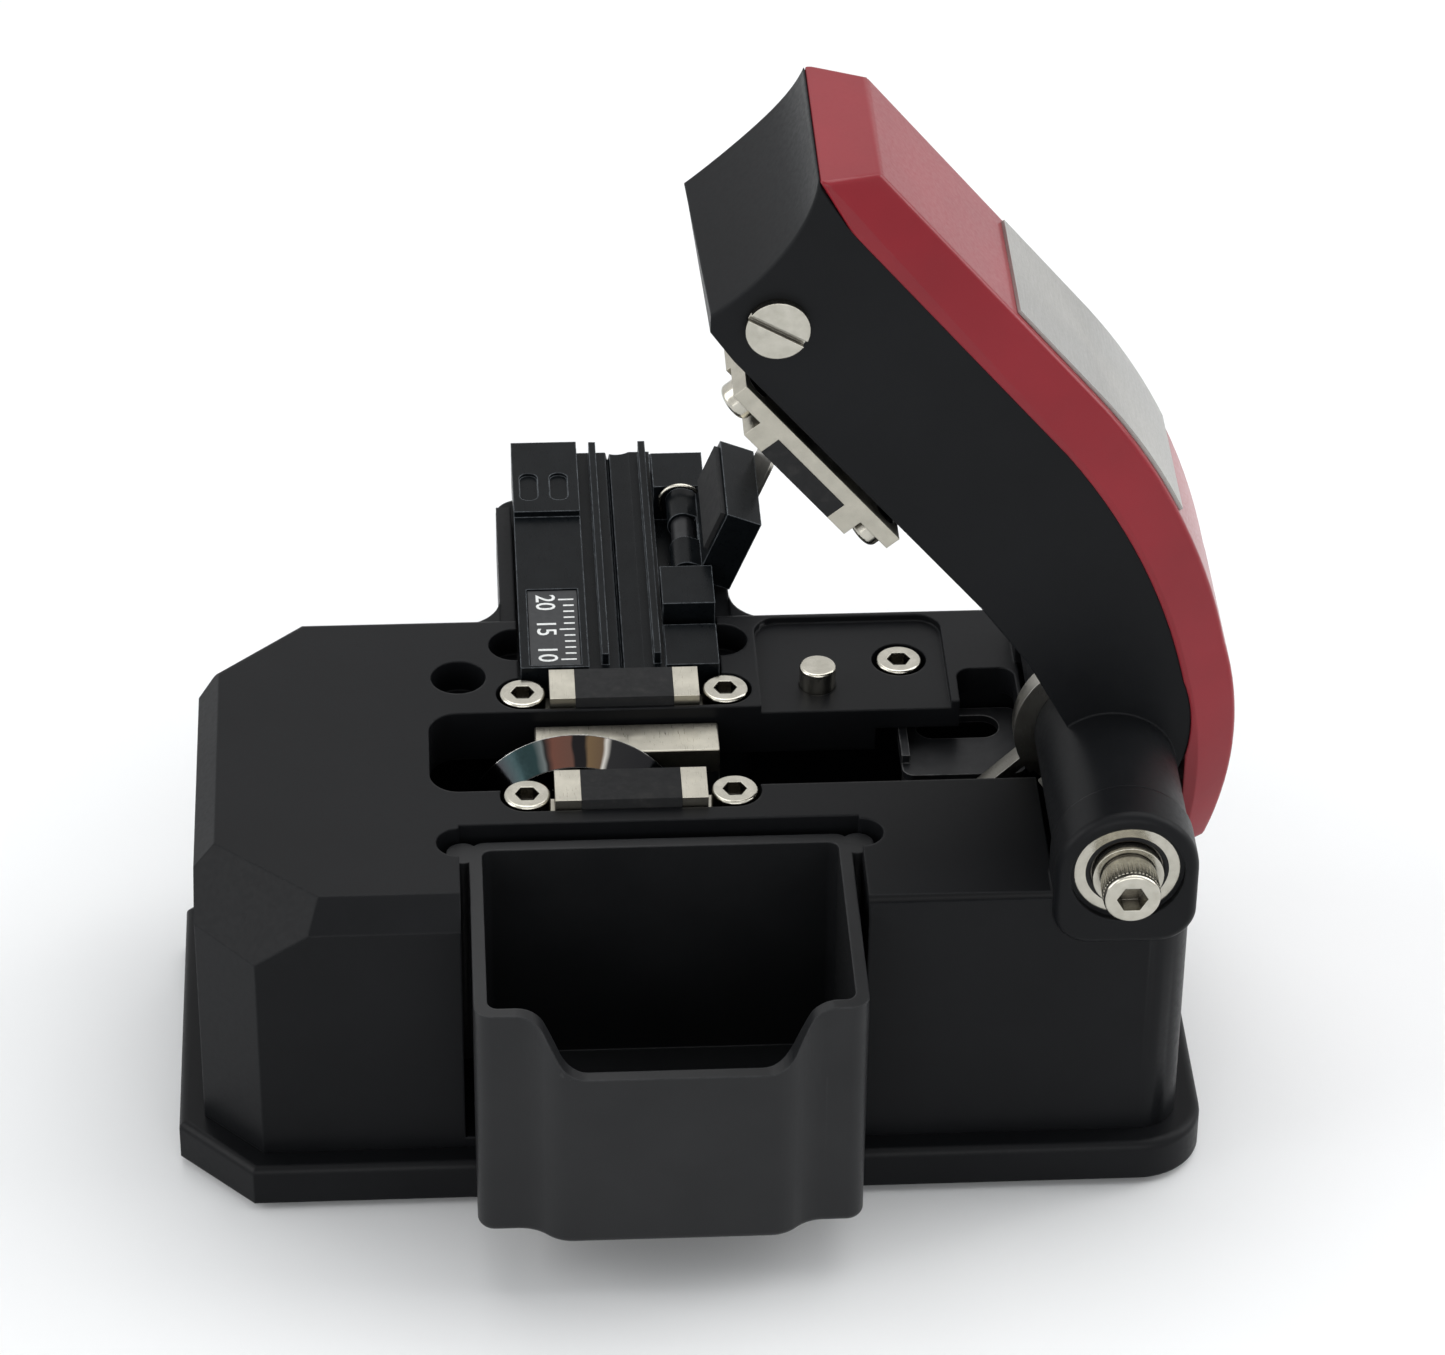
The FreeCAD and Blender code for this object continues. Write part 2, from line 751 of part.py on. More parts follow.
# ---------------------------------------------------------------- lid arm and cover
def arc_edge(a, mid, b, y):
    return Part.Arc(Vector(a[0], y, a[1]), Vector(mid[0], y, mid[1]), Vector(b[0], y, b[1])).toShape()


def line_edge(a, b, y):
    return Part.makeLine(Vector(a[0], y, a[1]), Vector(b[0], y, b[1]))


# the cover's underside and crown, seen from the side: each row is one lower and one upper point
rim_bend = (14.0, rim_z)
rim_mid = (26.0, 19.75)
rim_fall = (41.0, 14.2)
crown_start = (-19.1, crown_z)
crown_bend = (12.0, crown_z)
crown_mid = (26.8, 24.6)
crown_fall = (41.0, 19.2)
crown_tail_mid = (51.0, 12.8)
crown_tail = (57.6, 4.6)


def tail_points():
    """Flat inner face of the cover's tail: it stands just off the right wall when open."""
    x = body_right + tail_gap - axis_x
    turn = math.radians(open_angle)
    points = []
    for z in (1.4, -9.0):
        points.append(
            (axis_x + x * math.cos(turn) - z * math.sin(turn), axis_z + x * math.sin(turn) + z * math.cos(turn))
        )
    return points


def cover_wire(y, share):
    """Side outline of the cover; share 0 is the thin rim and share 1 the full height."""
    inner_top, inner_tip = tail_points()

    def up(low, high):
        keep = 0.12 + 0.88 * share
        return (low[0] + (high[0] - low[0]) * keep, low[1] + (high[1] - low[1]) * keep)

    rim_front = (-17.5, rim_z)
    rim_tail_mid = (45.0, 12.1)
    start = up(grip_top, crown_start)
    bend = up(rim_bend, crown_bend)
    mid = up(rim_mid, crown_mid)
    fall = up(rim_fall, crown_fall)
    tail_mid = up((48.6, 9.6), crown_tail_mid)
    tail = up(inner_tip, crown_tail)
    edges = [
        line_edge(grip_top, start, y),
        line_edge(start, bend, y),
        arc_edge(bend, mid, fall, y),
        arc_edge(fall, tail_mid, tail, y),
        line_edge(tail, inner_tip, y),
        line_edge(inner_tip, inner_top, y),
        arc_edge(inner_top, rim_tail_mid, rim_fall, y),
        arc_edge(rim_fall, rim_mid, rim_bend, y),
        line_edge(rim_bend, rim_front, y),
        line_edge(rim_front, grip_top, y),
    ]
    return Part.Wire(edges)


def make_cover():
    front = Part.makeLoft([cover_wire(-cover_half, 0), cover_wire(-crown_half, 1)], True, True)
    back = Part.makeLoft([cover_wire(crown_half, 1), cover_wire(cover_half, 0)], True, True)
    middle = Part.Face(cover_wire(-crown_half, 1)).extrude(Vector(0, 2 * crown_half, 0))
    shape = middle.fuse(front).fuse(back).removeSplitter()
    hollow = block(-14.0, 34.0, -crown_half + cover_wall, crown_half - cover_wall, rim_z - 8, 40)
    inside = Part.Face(hollow_wire()).extrude(Vector(0, 2 * crown_half - 2 * cover_wall, 0))
    inside.translate(Vector(0, -crown_half + cover_wall, 0))
    return shape.cut(inside.common(hollow))


def hollow_wire():
    """Side outline of the space inside the cover."""
    top = crown_z - cover_wall
    edges = [
        line_edge((-14.0, rim_z - 6), (-14.0, top), 0),
        line_edge((-14.0, top), (10.0, top), 0),
        line_edge((10.0, top), (34.0, top - 4.2), 0),
        line_edge((34.0, top - 4.2), (34.0, rim_z - 6), 0),
        line_edge((34.0, rim_z - 6), (-14.0, rim_z - 6), 0),
    ]
    return Part.Wire(edges)


def arm_profile(y):
    """Side outline of the black arm between its lip, grip and hub."""
    inner_top = tail_points()[0]
    rim_front = (-17.5, rim_z)
    heel = (axis_x + hub_radius * 0.92, axis_z + hub_radius * 0.39)
    toe = (axis_x - hub_radius, axis_z)
    edges = [
        line_edge((-13.5, arm_bottom), (arm_left, arm_bottom + 0.35), y),
        line_edge((arm_left, arm_bottom + 0.35), lip, y),
        arc_edge(lip, scoop_mid, grip_top, y),
        line_edge(grip_top, rim_front, y),
        line_edge(rim_front, rim_bend, y),
        arc_edge(rim_bend, rim_mid, rim_fall, y),
        arc_edge(rim_fall, (45.0, 12.1), inner_top, y),
        line_edge(inner_top, heel, y),
        line_edge(heel, (axis_x, axis_z), y),
        line_edge((axis_x, axis_z), toe, y),
        line_edge(toe, (30.0, arm_bottom - 0.6), y),
        line_edge((30.0, arm_bottom - 0.6), (22.0, arm_bottom), y),
        line_edge((22.0, arm_bottom), (-13.5, arm_bottom), y),
    ]
    return Part.Wire(edges)


def make_arm():
    beam = Part.Face(arm_profile(-arm_half)).extrude(Vector(0, 2 * arm_half, 0))
    hub = rod_y(axis_x, axis_z, hub_radius, hub_front, hub_back)
    shape = beam.fuse(hub).removeSplitter()
    # room for the floating clamps, with two guide posts left standing
    room = rounded_block(-12.6, 12.6, -7.4, 7.4, arm_bottom - 1, arm_bottom + 7.5, 1.5)
    for side in (-1, 1):
        room = room.cut(rod_z(side * guide_x, 0, 3.0, arm_bottom + 2.2, 20))
    room = room.cut(anvil_block(20))
    shape = shape.cut(room)
    for side in (-1, 1):
        shape = shape.cut(rod_z(side * guide_x, 0, guide_radius + running_gap, arm_bottom, 16))
    shape = shape.cut(rod_y(axis_x, axis_z, axle_radius + running_gap, -40, 40))
    for side in (-1, 1):
        shape = shape.cut(arm_screw_hole(side))
    shape = shape.cut(bumper_rod(arm_bottom - 1, arm_bottom + 3))
    return shape


def arm_screw_hole(side):
    y0, y1 = sorted((side * (arm_half - 5), side * (arm_half + 1)))
    return rod_y(arm_screw_at[0], arm_screw_at[1], m3_shank_r, y0, y1)


arm_screw_at = (-13.8, 10.4)
arm_screw_head_r = 2.85
anvil_size = (5.0, 4.2)


def anvil_block(top):
    return block(
        -anvil_size[0] / 2, anvil_size[0] / 2, -anvil_size[1] / 2, anvil_size[1] / 2, arm_bottom + 1.5, top
    )


def make_anvil():
    """Fixed anvil that bends the scored fibre, with a narrow nose."""
    stem = block(
        -anvil_size[0] / 2, anvil_size[0] / 2, -anvil_size[1] / 2, anvil_size[1] / 2, 3.0, arm_bottom + 1.5
    )
    nose = block(-anvil_size[0] / 2, anvil_size[0] / 2, -0.8, 0.8, 1.7, 3.0)
    return stem.fuse(nose)


def make_arm_screws():
    """Slotted screws through the two cheeks of the arm."""
    screws = []
    for side in (-1, 1):
        y0, y1 = sorted((side * arm_half, side * (arm_half + 0.9)))
        s0, s1 = sorted((side * (arm_half - 4.5), side * arm_half))
        head = rod_y(arm_screw_at[0], arm_screw_at[1], arm_screw_head_r, y0, y1)
        shank = rod_y(arm_screw_at[0], arm_screw_at[1], m3_shank_r, s0, s1)
        c0, c1 = sorted((side * (arm_half + 0.4), side * (arm_half + 2)))
        slot = block(-4, 4, c0, c1, -0.3, 0.3)
        slot.rotate(Vector(0, 0, 0), Y_AXIS, -20)
        slot.translate(Vector(arm_screw_at[0], 0, arm_screw_at[1]))
        screws.append(head.fuse(shank).cut(slot))
    return Part.Compound(screws)


def make_label():
    """Bare metal plate bent over the crown."""
    thick = 0.35
    outer = [
        line_edge((0.4, crown_z), (0.4, crown_z + thick), 0),
        line_edge((0.4, crown_z + thick), (crown_bend[0], crown_z + thick), 0),
        arc_edge((crown_bend[0], crown_z + thick), (20.1, 25.93 + thick), (27.0, 24.57 + thick), 0),
        line_edge((27.0, 24.57 + thick), (27.0, 23.4), 0),
        line_edge((27.0, 23.4), (0.4, crown_z - 1.0), 0),
        line_edge((0.4, crown_z - 1.0), (0.4, crown_z), 0),
    ]
    plate = Part.Face(Part.Wire(outer)).extrude(Vector(0, 2 * label_half, 0))
    plate.translate(Vector(0, -label_half, 0))
    return plate.cut(make_cover_solid())


label_half = 7.7


def make_cover_solid():
    return Part.Face(cover_wire(-cover_half - 1, 1)).extrude(Vector(0, 2 * cover_half + 2, 0))


def bumper_rod(z0, z1):
    return rod_z(stop_pin_at[0], 7.6, 1.7, z0, z1)


def make_bumper():
    """Rubber buffer under the arm that meets the stop pin."""
    return bumper_rod(stop_pin_top + closed_gap, arm_bottom + 3)


def make_lever():
    """Bright steel lever on the hub: a crescent that ends in a fork for the drive pin."""
    y0, y1 = lever_y - lever_width / 2, lever_y + lever_width / 2
    rim = 1.9
    lean = open_angle - lever_lean
    plate = rod_y(axis_x, axis_z, hub_radius + rim, y0, y1)
    plate = plate.common(sector(181, 262 + lean, hub_radius + rim + 2, y0 - 1, y1 + 1))
    half = drive_pin_r + fork_play
    reach = drive_drop / math.cos(math.radians(lever_lean)) + drive_pin_r
    root = drive_drop - drive_pin_r - 0.4
    fork = block(fork_offset - half - fork_prong, fork_offset + half + fork_prong, y0, y1, -reach, 0)
    slot = block(fork_offset - half, fork_offset + half, y0 - 1, y1 + 1, -reach - 1, -root)
    fork = fork.cut(slot)
    fork.rotate(Vector(0, 0, 0), Y_AXIS, -lean)
    fork.translate(Vector(axis_x, 0, axis_z))
    shape = plate.fuse(fork).removeSplitter()
    return shape.cut(rod_y(axis_x, axis_z, hub_radius, y0 - 1, y1 + 1))


def sector(start, end, radius, y0, y1):
    """Wedge about the hinge axis between two angles seen from the front."""
    points = [(axis_x, axis_z)]
    steps = 6
    for step in range(steps + 1):
        turn = math.radians(start + (end - start) * step / steps)
        points.append((axis_x + 1.2 * radius * math.cos(turn), axis_z + 1.2 * radius * math.sin(turn)))
    return side_prism(points, y0, y1)


# ---------------------------------------------------------------- floating upper clamps
clamp_under = clamp_top + closed_gap
upper_top = arm_bottom - float_travel - 0.1


def make_upper_clamp(y):
    half = clamp_width / 2
    plate = block(
        -clamp_plate_length / 2, clamp_plate_length / 2, y - half, y + half, clamp_under + clamp_step, upper_top
    )
    jaw = block(-clamp_length / 2, clamp_length / 2, y - half, y + half, clamp_under, upper_top)
    shape = plate.fuse(jaw).removeSplitter().cut(upper_rubber(y))
    for side in (-1, 1):
        shape = shape.cut(rod_z(side * clamp_pin_x, y, m25_shank_r, 0, upper_top + 1))
    return shape


clamp_pin_x = 9.1


def upper_rubber(y):
    half = clamp_width / 2
    return block(-rubber_length / 2, rubber_length / 2, y - half, y + half, clamp_under, clamp_under + rubber_depth)


def make_upper_screws():
    """Round-head screws under the ends of the upper clamps."""
    screws = []
    seat = clamp_under + clamp_step
    for side in (-1, 1):
        for y in (-clamp_offset, clamp_offset):
            head = rod_z(side * clamp_pin_x, y, m25_head_r - 0.4, seat - 1.5, seat)
            head = fillet_level(head, 0.5, seat - 1.5)
            shank = rod_z(side * clamp_pin_x, y, m25_shank_r, seat, upper_top)
            screws.append(head.fuse(shank))
    return Part.Compound(screws)


def make_carrier():
    """Bridge that ties the two upper clamps and holds the guide pins."""
    inner = clamp_offset - clamp_width / 2
    low = upper_top - carrier_thickness
    plate = block(-clamp_plate_length / 2, clamp_plate_length / 2, -inner, inner, low, upper_top)
    gap = 0.5
    hole = block(
        -anvil_size[0] / 2 - gap,
        anvil_size[0] / 2 + gap,
        -anvil_size[1] / 2 - gap,
        anvil_size[1] / 2 + gap,
        low - 1,
        upper_top + 1,
    )
    plate = plate.cut(hole)
    for side in (-1, 1):
        plate = plate.fuse(rod_z(side * guide_x, 0, guide_radius, upper_top, arm_bottom + 8.5))
    return plate


def make_clamp_springs():
    """Short coil springs round the guide pins."""
    coils = []
    wire = 0.28
    height = 1.7
    for side in (-1, 1):
        helix = Part.makeHelix(0.85, height, guide_radius + wire + 0.15)
        section = Part.Wire(
            Part.makeCircle(wire, Vector(guide_radius + wire + 0.15, 0, 0), Y_AXIS)
        )
        coil = Part.Wire(helix).makePipeShell([section], True, True)
        coil.translate(Vector(side * guide_x, 0, upper_top + wire + 0.02))
        coils.append(coil)
    return Part.Compound(coils)


# ---------------------------------------------------------------- scrap bin
def s_bend(x0, x1, y0, y1, z):
    """Two tangent arcs that lead from one level of a wall to another."""
    half_run, half_rise = abs(x1 - x0) / 2, abs(y1 - y0) / 2
    radius = (half_run**2 + half_rise**2) / (2 * half_rise)
    half_turn = math.asin(half_run / radius) / 2
    along = math.copysign(radius * math.sin(half_turn), x1 - x0)
    across = math.copysign(radius * (1 - math.cos(half_turn)), y1 - y0)
    middle = Vector((x0 + x1) / 2, (y0 + y1) / 2, z)
    first = Part.Arc(Vector(x0, y0, z), Vector(x0 + along, y0 + across, z), middle)
    second = Part.Arc(middle, Vector(x1 - along, y1 - across, z), Vector(x1, y1, z))
    return [first.toShape(), second.toShape()]


def bin_shell(grow, bottom, top):
    """Bin footprint with its front bulge, grown outwards by grow."""
    left, right = bin_centre - bin_width / 2 - grow, bin_centre + bin_width / 2 + grow
    back, front = bin_back + grow, bin_front - grow
    swell = front - bin_bulge
    bulge_left, bulge_right = bin_centre - bulge_width / 2 - grow, bin_centre + bulge_width / 2 + grow
    bend = bulge_bend / 2
    edges = [
        Part.makeLine(Vector(left, back, bottom), Vector(left, front, bottom)),
        Part.makeLine(Vector(left, front, bottom), Vector(bulge_left - bend, front, bottom)),
    ]
    edges += s_bend(bulge_left - bend, bulge_left + bend, front, swell, bottom)
    edges.append(Part.makeLine(Vector(bulge_left + bend, swell, bottom), Vector(bulge_right - bend, swell, bottom)))
    edges += s_bend(bulge_right - bend, bulge_right + bend, swell, front, bottom)
    edges += [
        Part.makeLine(Vector(bulge_right + bend, front, bottom), Vector(right, front, bottom)),
        Part.makeLine(Vector(right, front, bottom), Vector(right, back, bottom)),
        Part.makeLine(Vector(right, back, bottom), Vector(left, back, bottom)),
    ]
    shape = Part.Face(Part.Wire(edges)).extrude(Vector(0, 0, top - bottom))
    return fillet_upright(shape, bin_corner + grow / 2, lambda x, y: x < left + 0.1 or x > right - 0.1)


def make_bin():
    outer = bin_shell(0, bin_bottom, bin_rim)
    outer = fillet_level(outer, 0.8, bin_bottom)
    for side in (-1, 1):
        x = bin_centre + side * (bin_width / 2)
        ear = rod_z(x + side * 0.6, bin_back - bin_ear_r, bin_ear_r, bin_bottom + 2, bin_rim)
        outer = outer.fuse(ear)
    inner = bin_shell(-bin_wall, bin_bottom + bin_wall, 3)
    shape = outer.cut(inner)
    return shape.cut(bin_notch_cut())


def bin_notch_cut():
    """Dip in the front rim, with sloping ends."""
    half_top, half_low = bulge_width / 2 + 2.4, bulge_width / 2 - 1.6
    low = bin_rim - bin_notch
    notch = side_prism(
        [
            (bin_centre - half_low, low),
            (bin_centre + half_low, low),
            (bin_centre + half_top, bin_rim + 0.01),
            (bin_centre + half_top, 2),
            (bin_centre - half_top, 2),
            (bin_centre - half_top, bin_rim + 0.01),
        ],
        bin_front - 6,
        bin_front + bin_wall + 1.0,
    )
    edges = [
        edge
        for edge in notch.Edges
        if edge.BoundBox.YLength > 5 and edge.BoundBox.ZMax < bin_rim + 0.1
    ]
    return notch.makeFillet(2.6, [edge for edge in edges if edge.BoundBox.ZMax < low + 0.1])


# ---------------------------------------------------------------- fibre holder
def make_holder():
    shape = block(holder_left, holder_right, holder_front, holder_back, holder_bottom, holder_top)
    # channel for the fibre coating, between two long ribs
    shape = shape.cut(block(-3.2, 4.2, holder_front - 1, holder_back + 1, holder_top - 0.7, holder_top + 1))
    for x in (-1.6, 3.4):
        shape = shape.fuse(block(x - 0.35, x + 0.35, holder_front + 1.2, holder_back, holder_top - 0.7, holder_top + 0.6))
    trough = rod_y(0.9, holder_top + 1.6, 2.6, holder_front - 1, holder_back + 1)
    trough = trough.common(block(-1.25, 3.05, holder_front - 2, holder_back + 2, -5, holder_top + 0.6))
    shape = shape.cut(trough)
    groove = side_prism(
        [(-0.45, holder_top + 0.2), (0.45, holder_top + 0.2), (0, holder_top - 1.6)],
        holder_front - 1,
        holder_back + 1,
    )
    shape = shape.cut(groove)
    # stepped left block, with the recess for the scale and two oval dimples
    step = block(holder_left, -3.2, 36.4, holder_back, holder_top, holder_top + 0.7)
    shape = shape.fuse(step)
    for x in (-8.2, -5.2):
        shape = shape.cut(rounded_block(x - 0.9, x + 0.9, 38.4, 43.2, holder_top + 0.35, holder_top + 2, 0.85))
    shape = shape.cut(block(*scale_outline(seat_gap / 2), holder_top - 0.5, holder_top + 1))
    # right blocks: front, hinge front and hinge back
    shape = shape.fuse(block(4.2, holder_right, 18.7, flap_front - 0.5, holder_top, holder_top + 1.6))
    shape = shape.fuse(block(4.2, holder_right, flap_back + 0.5, 45.0, holder_top, holder_top + 1.6))
    shape = shape.cut(block(4.2, holder_right + 1, 17.4, 18.7, holder_top - 1.2, holder_top + 3))
    shape = shape.cut(block(4.2, holder_right + 1, flap_front - 0.5, flap_back + 0.5, -1.4, holder_top + 3))
    shape = shape.cut(block(4.2, holder_right + 1, 45.0, holder_back + 1, 0, holder_top + 3))
    shape = shape.cut(rod_y(pin_x, pin_z, pin_radius, 20.0, 43.0))
    return shape.removeSplitter()


def scale_outline(gap):
    return (-8.8 - gap, -4.0 + gap, 11.3 - gap, 23.8 + gap)


def make_scale():
    return block(*scale_outline(0), holder_top - 0.5, holder_top - 0.15)


def make_flap_pin():
    return rod_y(pin_x, pin_z, pin_radius, 20.0, 43.0)


def make_magnets():
    discs = [rod_z(x, y, magnet_r, holder_bottom - magnet_h, holder_bottom) for x, y in magnet_points()]
    return Part.Compound(discs)


def make_flap():
    """Flap that presses the fibre into the holder, drawn closed."""
    low = pin_z + flap_lift
    lid = block(pin_x - 8.0, pin_x + 0.2, flap_front, flap_back, low, low + flap_thickness)
    barrel = rod_y(pin_x, pin_z, 1.5, flap_front, flap_back)
    neck = block(pin_x - 1.5, pin_x + 1.5, flap_front, flap_back, pin_z, low + 1.0)
    shape = lid.fuse(barrel).fuse(neck).removeSplitter()
    shape = shape.cut(rod_y(pin_x, pin_z, pin_radius + running_gap, flap_front - 1, flap_back + 1))
    return shape.cut(flap_spring_room())


def flap_spring_room():
    return ring_y(pin_x, pin_z, 0, 1.7, 30.0, 34.0).common(block(pin_x - 3, pin_x + 3, 29, 35, -2, pin_z + 0.9))


def make_flap_pad():
    low = pin_z + flap_lift
    return block(pin_x - 7.6, pin_x - 3.2, flap_front + 0.6, flap_back - 0.6, low - 0.5, low)


def make_flap_leaf():
    """Bright spring leaf on the outside of the flap, longer than the flap."""
    top = pin_z + flap_lift + flap_thickness
    sheet = block(pin_x - 12.5, pin_x - 1.0, flap_back - 7.0, flap_back - 0.8, top, top + 0.35)
    return fillet_upright(sheet, 2.0, lambda x, y: x < pin_x - 10)


# ---------------------------------------------------------------- write every node
finish("base_housing", make_housing())
finish("base_plate", make_base_plate())
finish("base_pad", make_base_pad())
finish("base_screws", make_base_screws())
finish("lower_clamp_front", make_lower_clamp(-clamp_offset))
finish("lower_clamp_rear", make_lower_clamp(clamp_offset))
finish("lower_rubber_front", lower_rubber_block(-clamp_offset))
finish("lower_rubber_rear", lower_rubber_block(clamp_offset))
finish("clamp_screws", make_clamp_screws())
finish("stop_pin", make_stop_pin())
finish("panel_screw", make_panel_screw())
finish("hinge_axle", make_axle())
finish("hinge_bearings", make_bearings())
finish("axle_screw", make_axle_screw())
finish("axle_spacer", make_axle_spacer())
finish("axle_clip", make_axle_clip())
finish("slide_rail", make_rail())
finish("rail_screws", make_rail_screws())
finish("holder_base", make_holder())
finish("scale_plate", make_scale())
finish("holder_magnets", make_magnets())
finish("flap_pin", make_flap_pin())

finish("carriage_block", make_shuttle())
finish("blade_bracket", make_blade_bracket())
finish("steel_bar", make_steel_bar())
finish("blade_screw", make_blade_screw())
finish("drive_post", make_drive_post())
finish("drive_pin", make_drive_pin())
finish("link_plate", make_link_plate())
finish("blade_wheel", make_blade())

finish("lid_arm", about_hinge(make_arm(), open_angle))
finish("lid_cover", about_hinge(make_cover(), open_angle))
finish("label_plate", about_hinge(make_label(), open_angle))
finish("arm_screws", about_hinge(make_arm_screws(), open_angle))
finish("anvil", about_hinge(make_anvil(), open_angle))
finish("lid_bumper", about_hinge(make_bumper(), open_angle))
finish("drive_lever", about_hinge(make_lever(), open_angle))

finish("upper_clamp_front", about_hinge(make_upper_clamp(-clamp_offset), open_angle))
finish("upper_clamp_rear", about_hinge(make_upper_clamp(clamp_offset), open_angle))
finish("upper_rubber_front", about_hinge(upper_rubber(-clamp_offset), open_angle))
finish("upper_rubber_rear", about_hinge(upper_rubber(clamp_offset), open_angle))
finish("clamp_carrier", about_hinge(make_carrier(), open_angle))
finish("upper_screws", about_hinge(make_upper_screws(), open_angle))
finish("clamp_springs", about_hinge(make_clamp_springs(), open_angle))

finish("holder_flap", open_flap(make_flap()))
finish("flap_pad", open_flap(make_flap_pad()))
finish("flap_leaf", open_flap(make_flap_leaf()))

finish("scrap_bin", make_bin())
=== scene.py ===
import math

import bmesh
import bpy
from mathutils import Matrix, Vector


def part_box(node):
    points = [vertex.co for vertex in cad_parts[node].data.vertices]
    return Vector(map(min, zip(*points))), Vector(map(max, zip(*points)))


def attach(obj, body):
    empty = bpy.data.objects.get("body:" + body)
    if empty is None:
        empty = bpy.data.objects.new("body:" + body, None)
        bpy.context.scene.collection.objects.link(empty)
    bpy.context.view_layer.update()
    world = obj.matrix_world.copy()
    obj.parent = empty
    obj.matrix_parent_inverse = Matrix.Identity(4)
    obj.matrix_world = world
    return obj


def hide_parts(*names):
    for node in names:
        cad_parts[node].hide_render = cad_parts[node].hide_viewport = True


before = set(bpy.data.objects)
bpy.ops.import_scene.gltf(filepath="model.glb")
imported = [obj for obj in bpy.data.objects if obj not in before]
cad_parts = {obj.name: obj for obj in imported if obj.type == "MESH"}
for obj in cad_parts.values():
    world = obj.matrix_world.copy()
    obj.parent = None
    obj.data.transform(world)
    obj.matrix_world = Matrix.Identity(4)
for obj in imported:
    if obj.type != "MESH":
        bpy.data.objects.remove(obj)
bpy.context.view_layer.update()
MM = 0.001
LAID_ALONG_Y = (math.pi / 2, 0, 0)    # turns an upright primitive's axis to the hinge line
NOISE_SPAN = (0.3, 0.7)               # between these lies nearly all of a noise
SMOOTH_ANGLE = math.radians(21)       # edges blunter than this are shaded smooth


def mm(*values):
    """A point given in millimetres, in metres."""
    return Vector(values) * MM


def low(node):
    return Vector(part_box(node)[0])


def high(node):
    return Vector(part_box(node)[1])


def middle(node):
    return (low(node) + high(node)) / 2


# ------------------------------------------------------------------ finishes

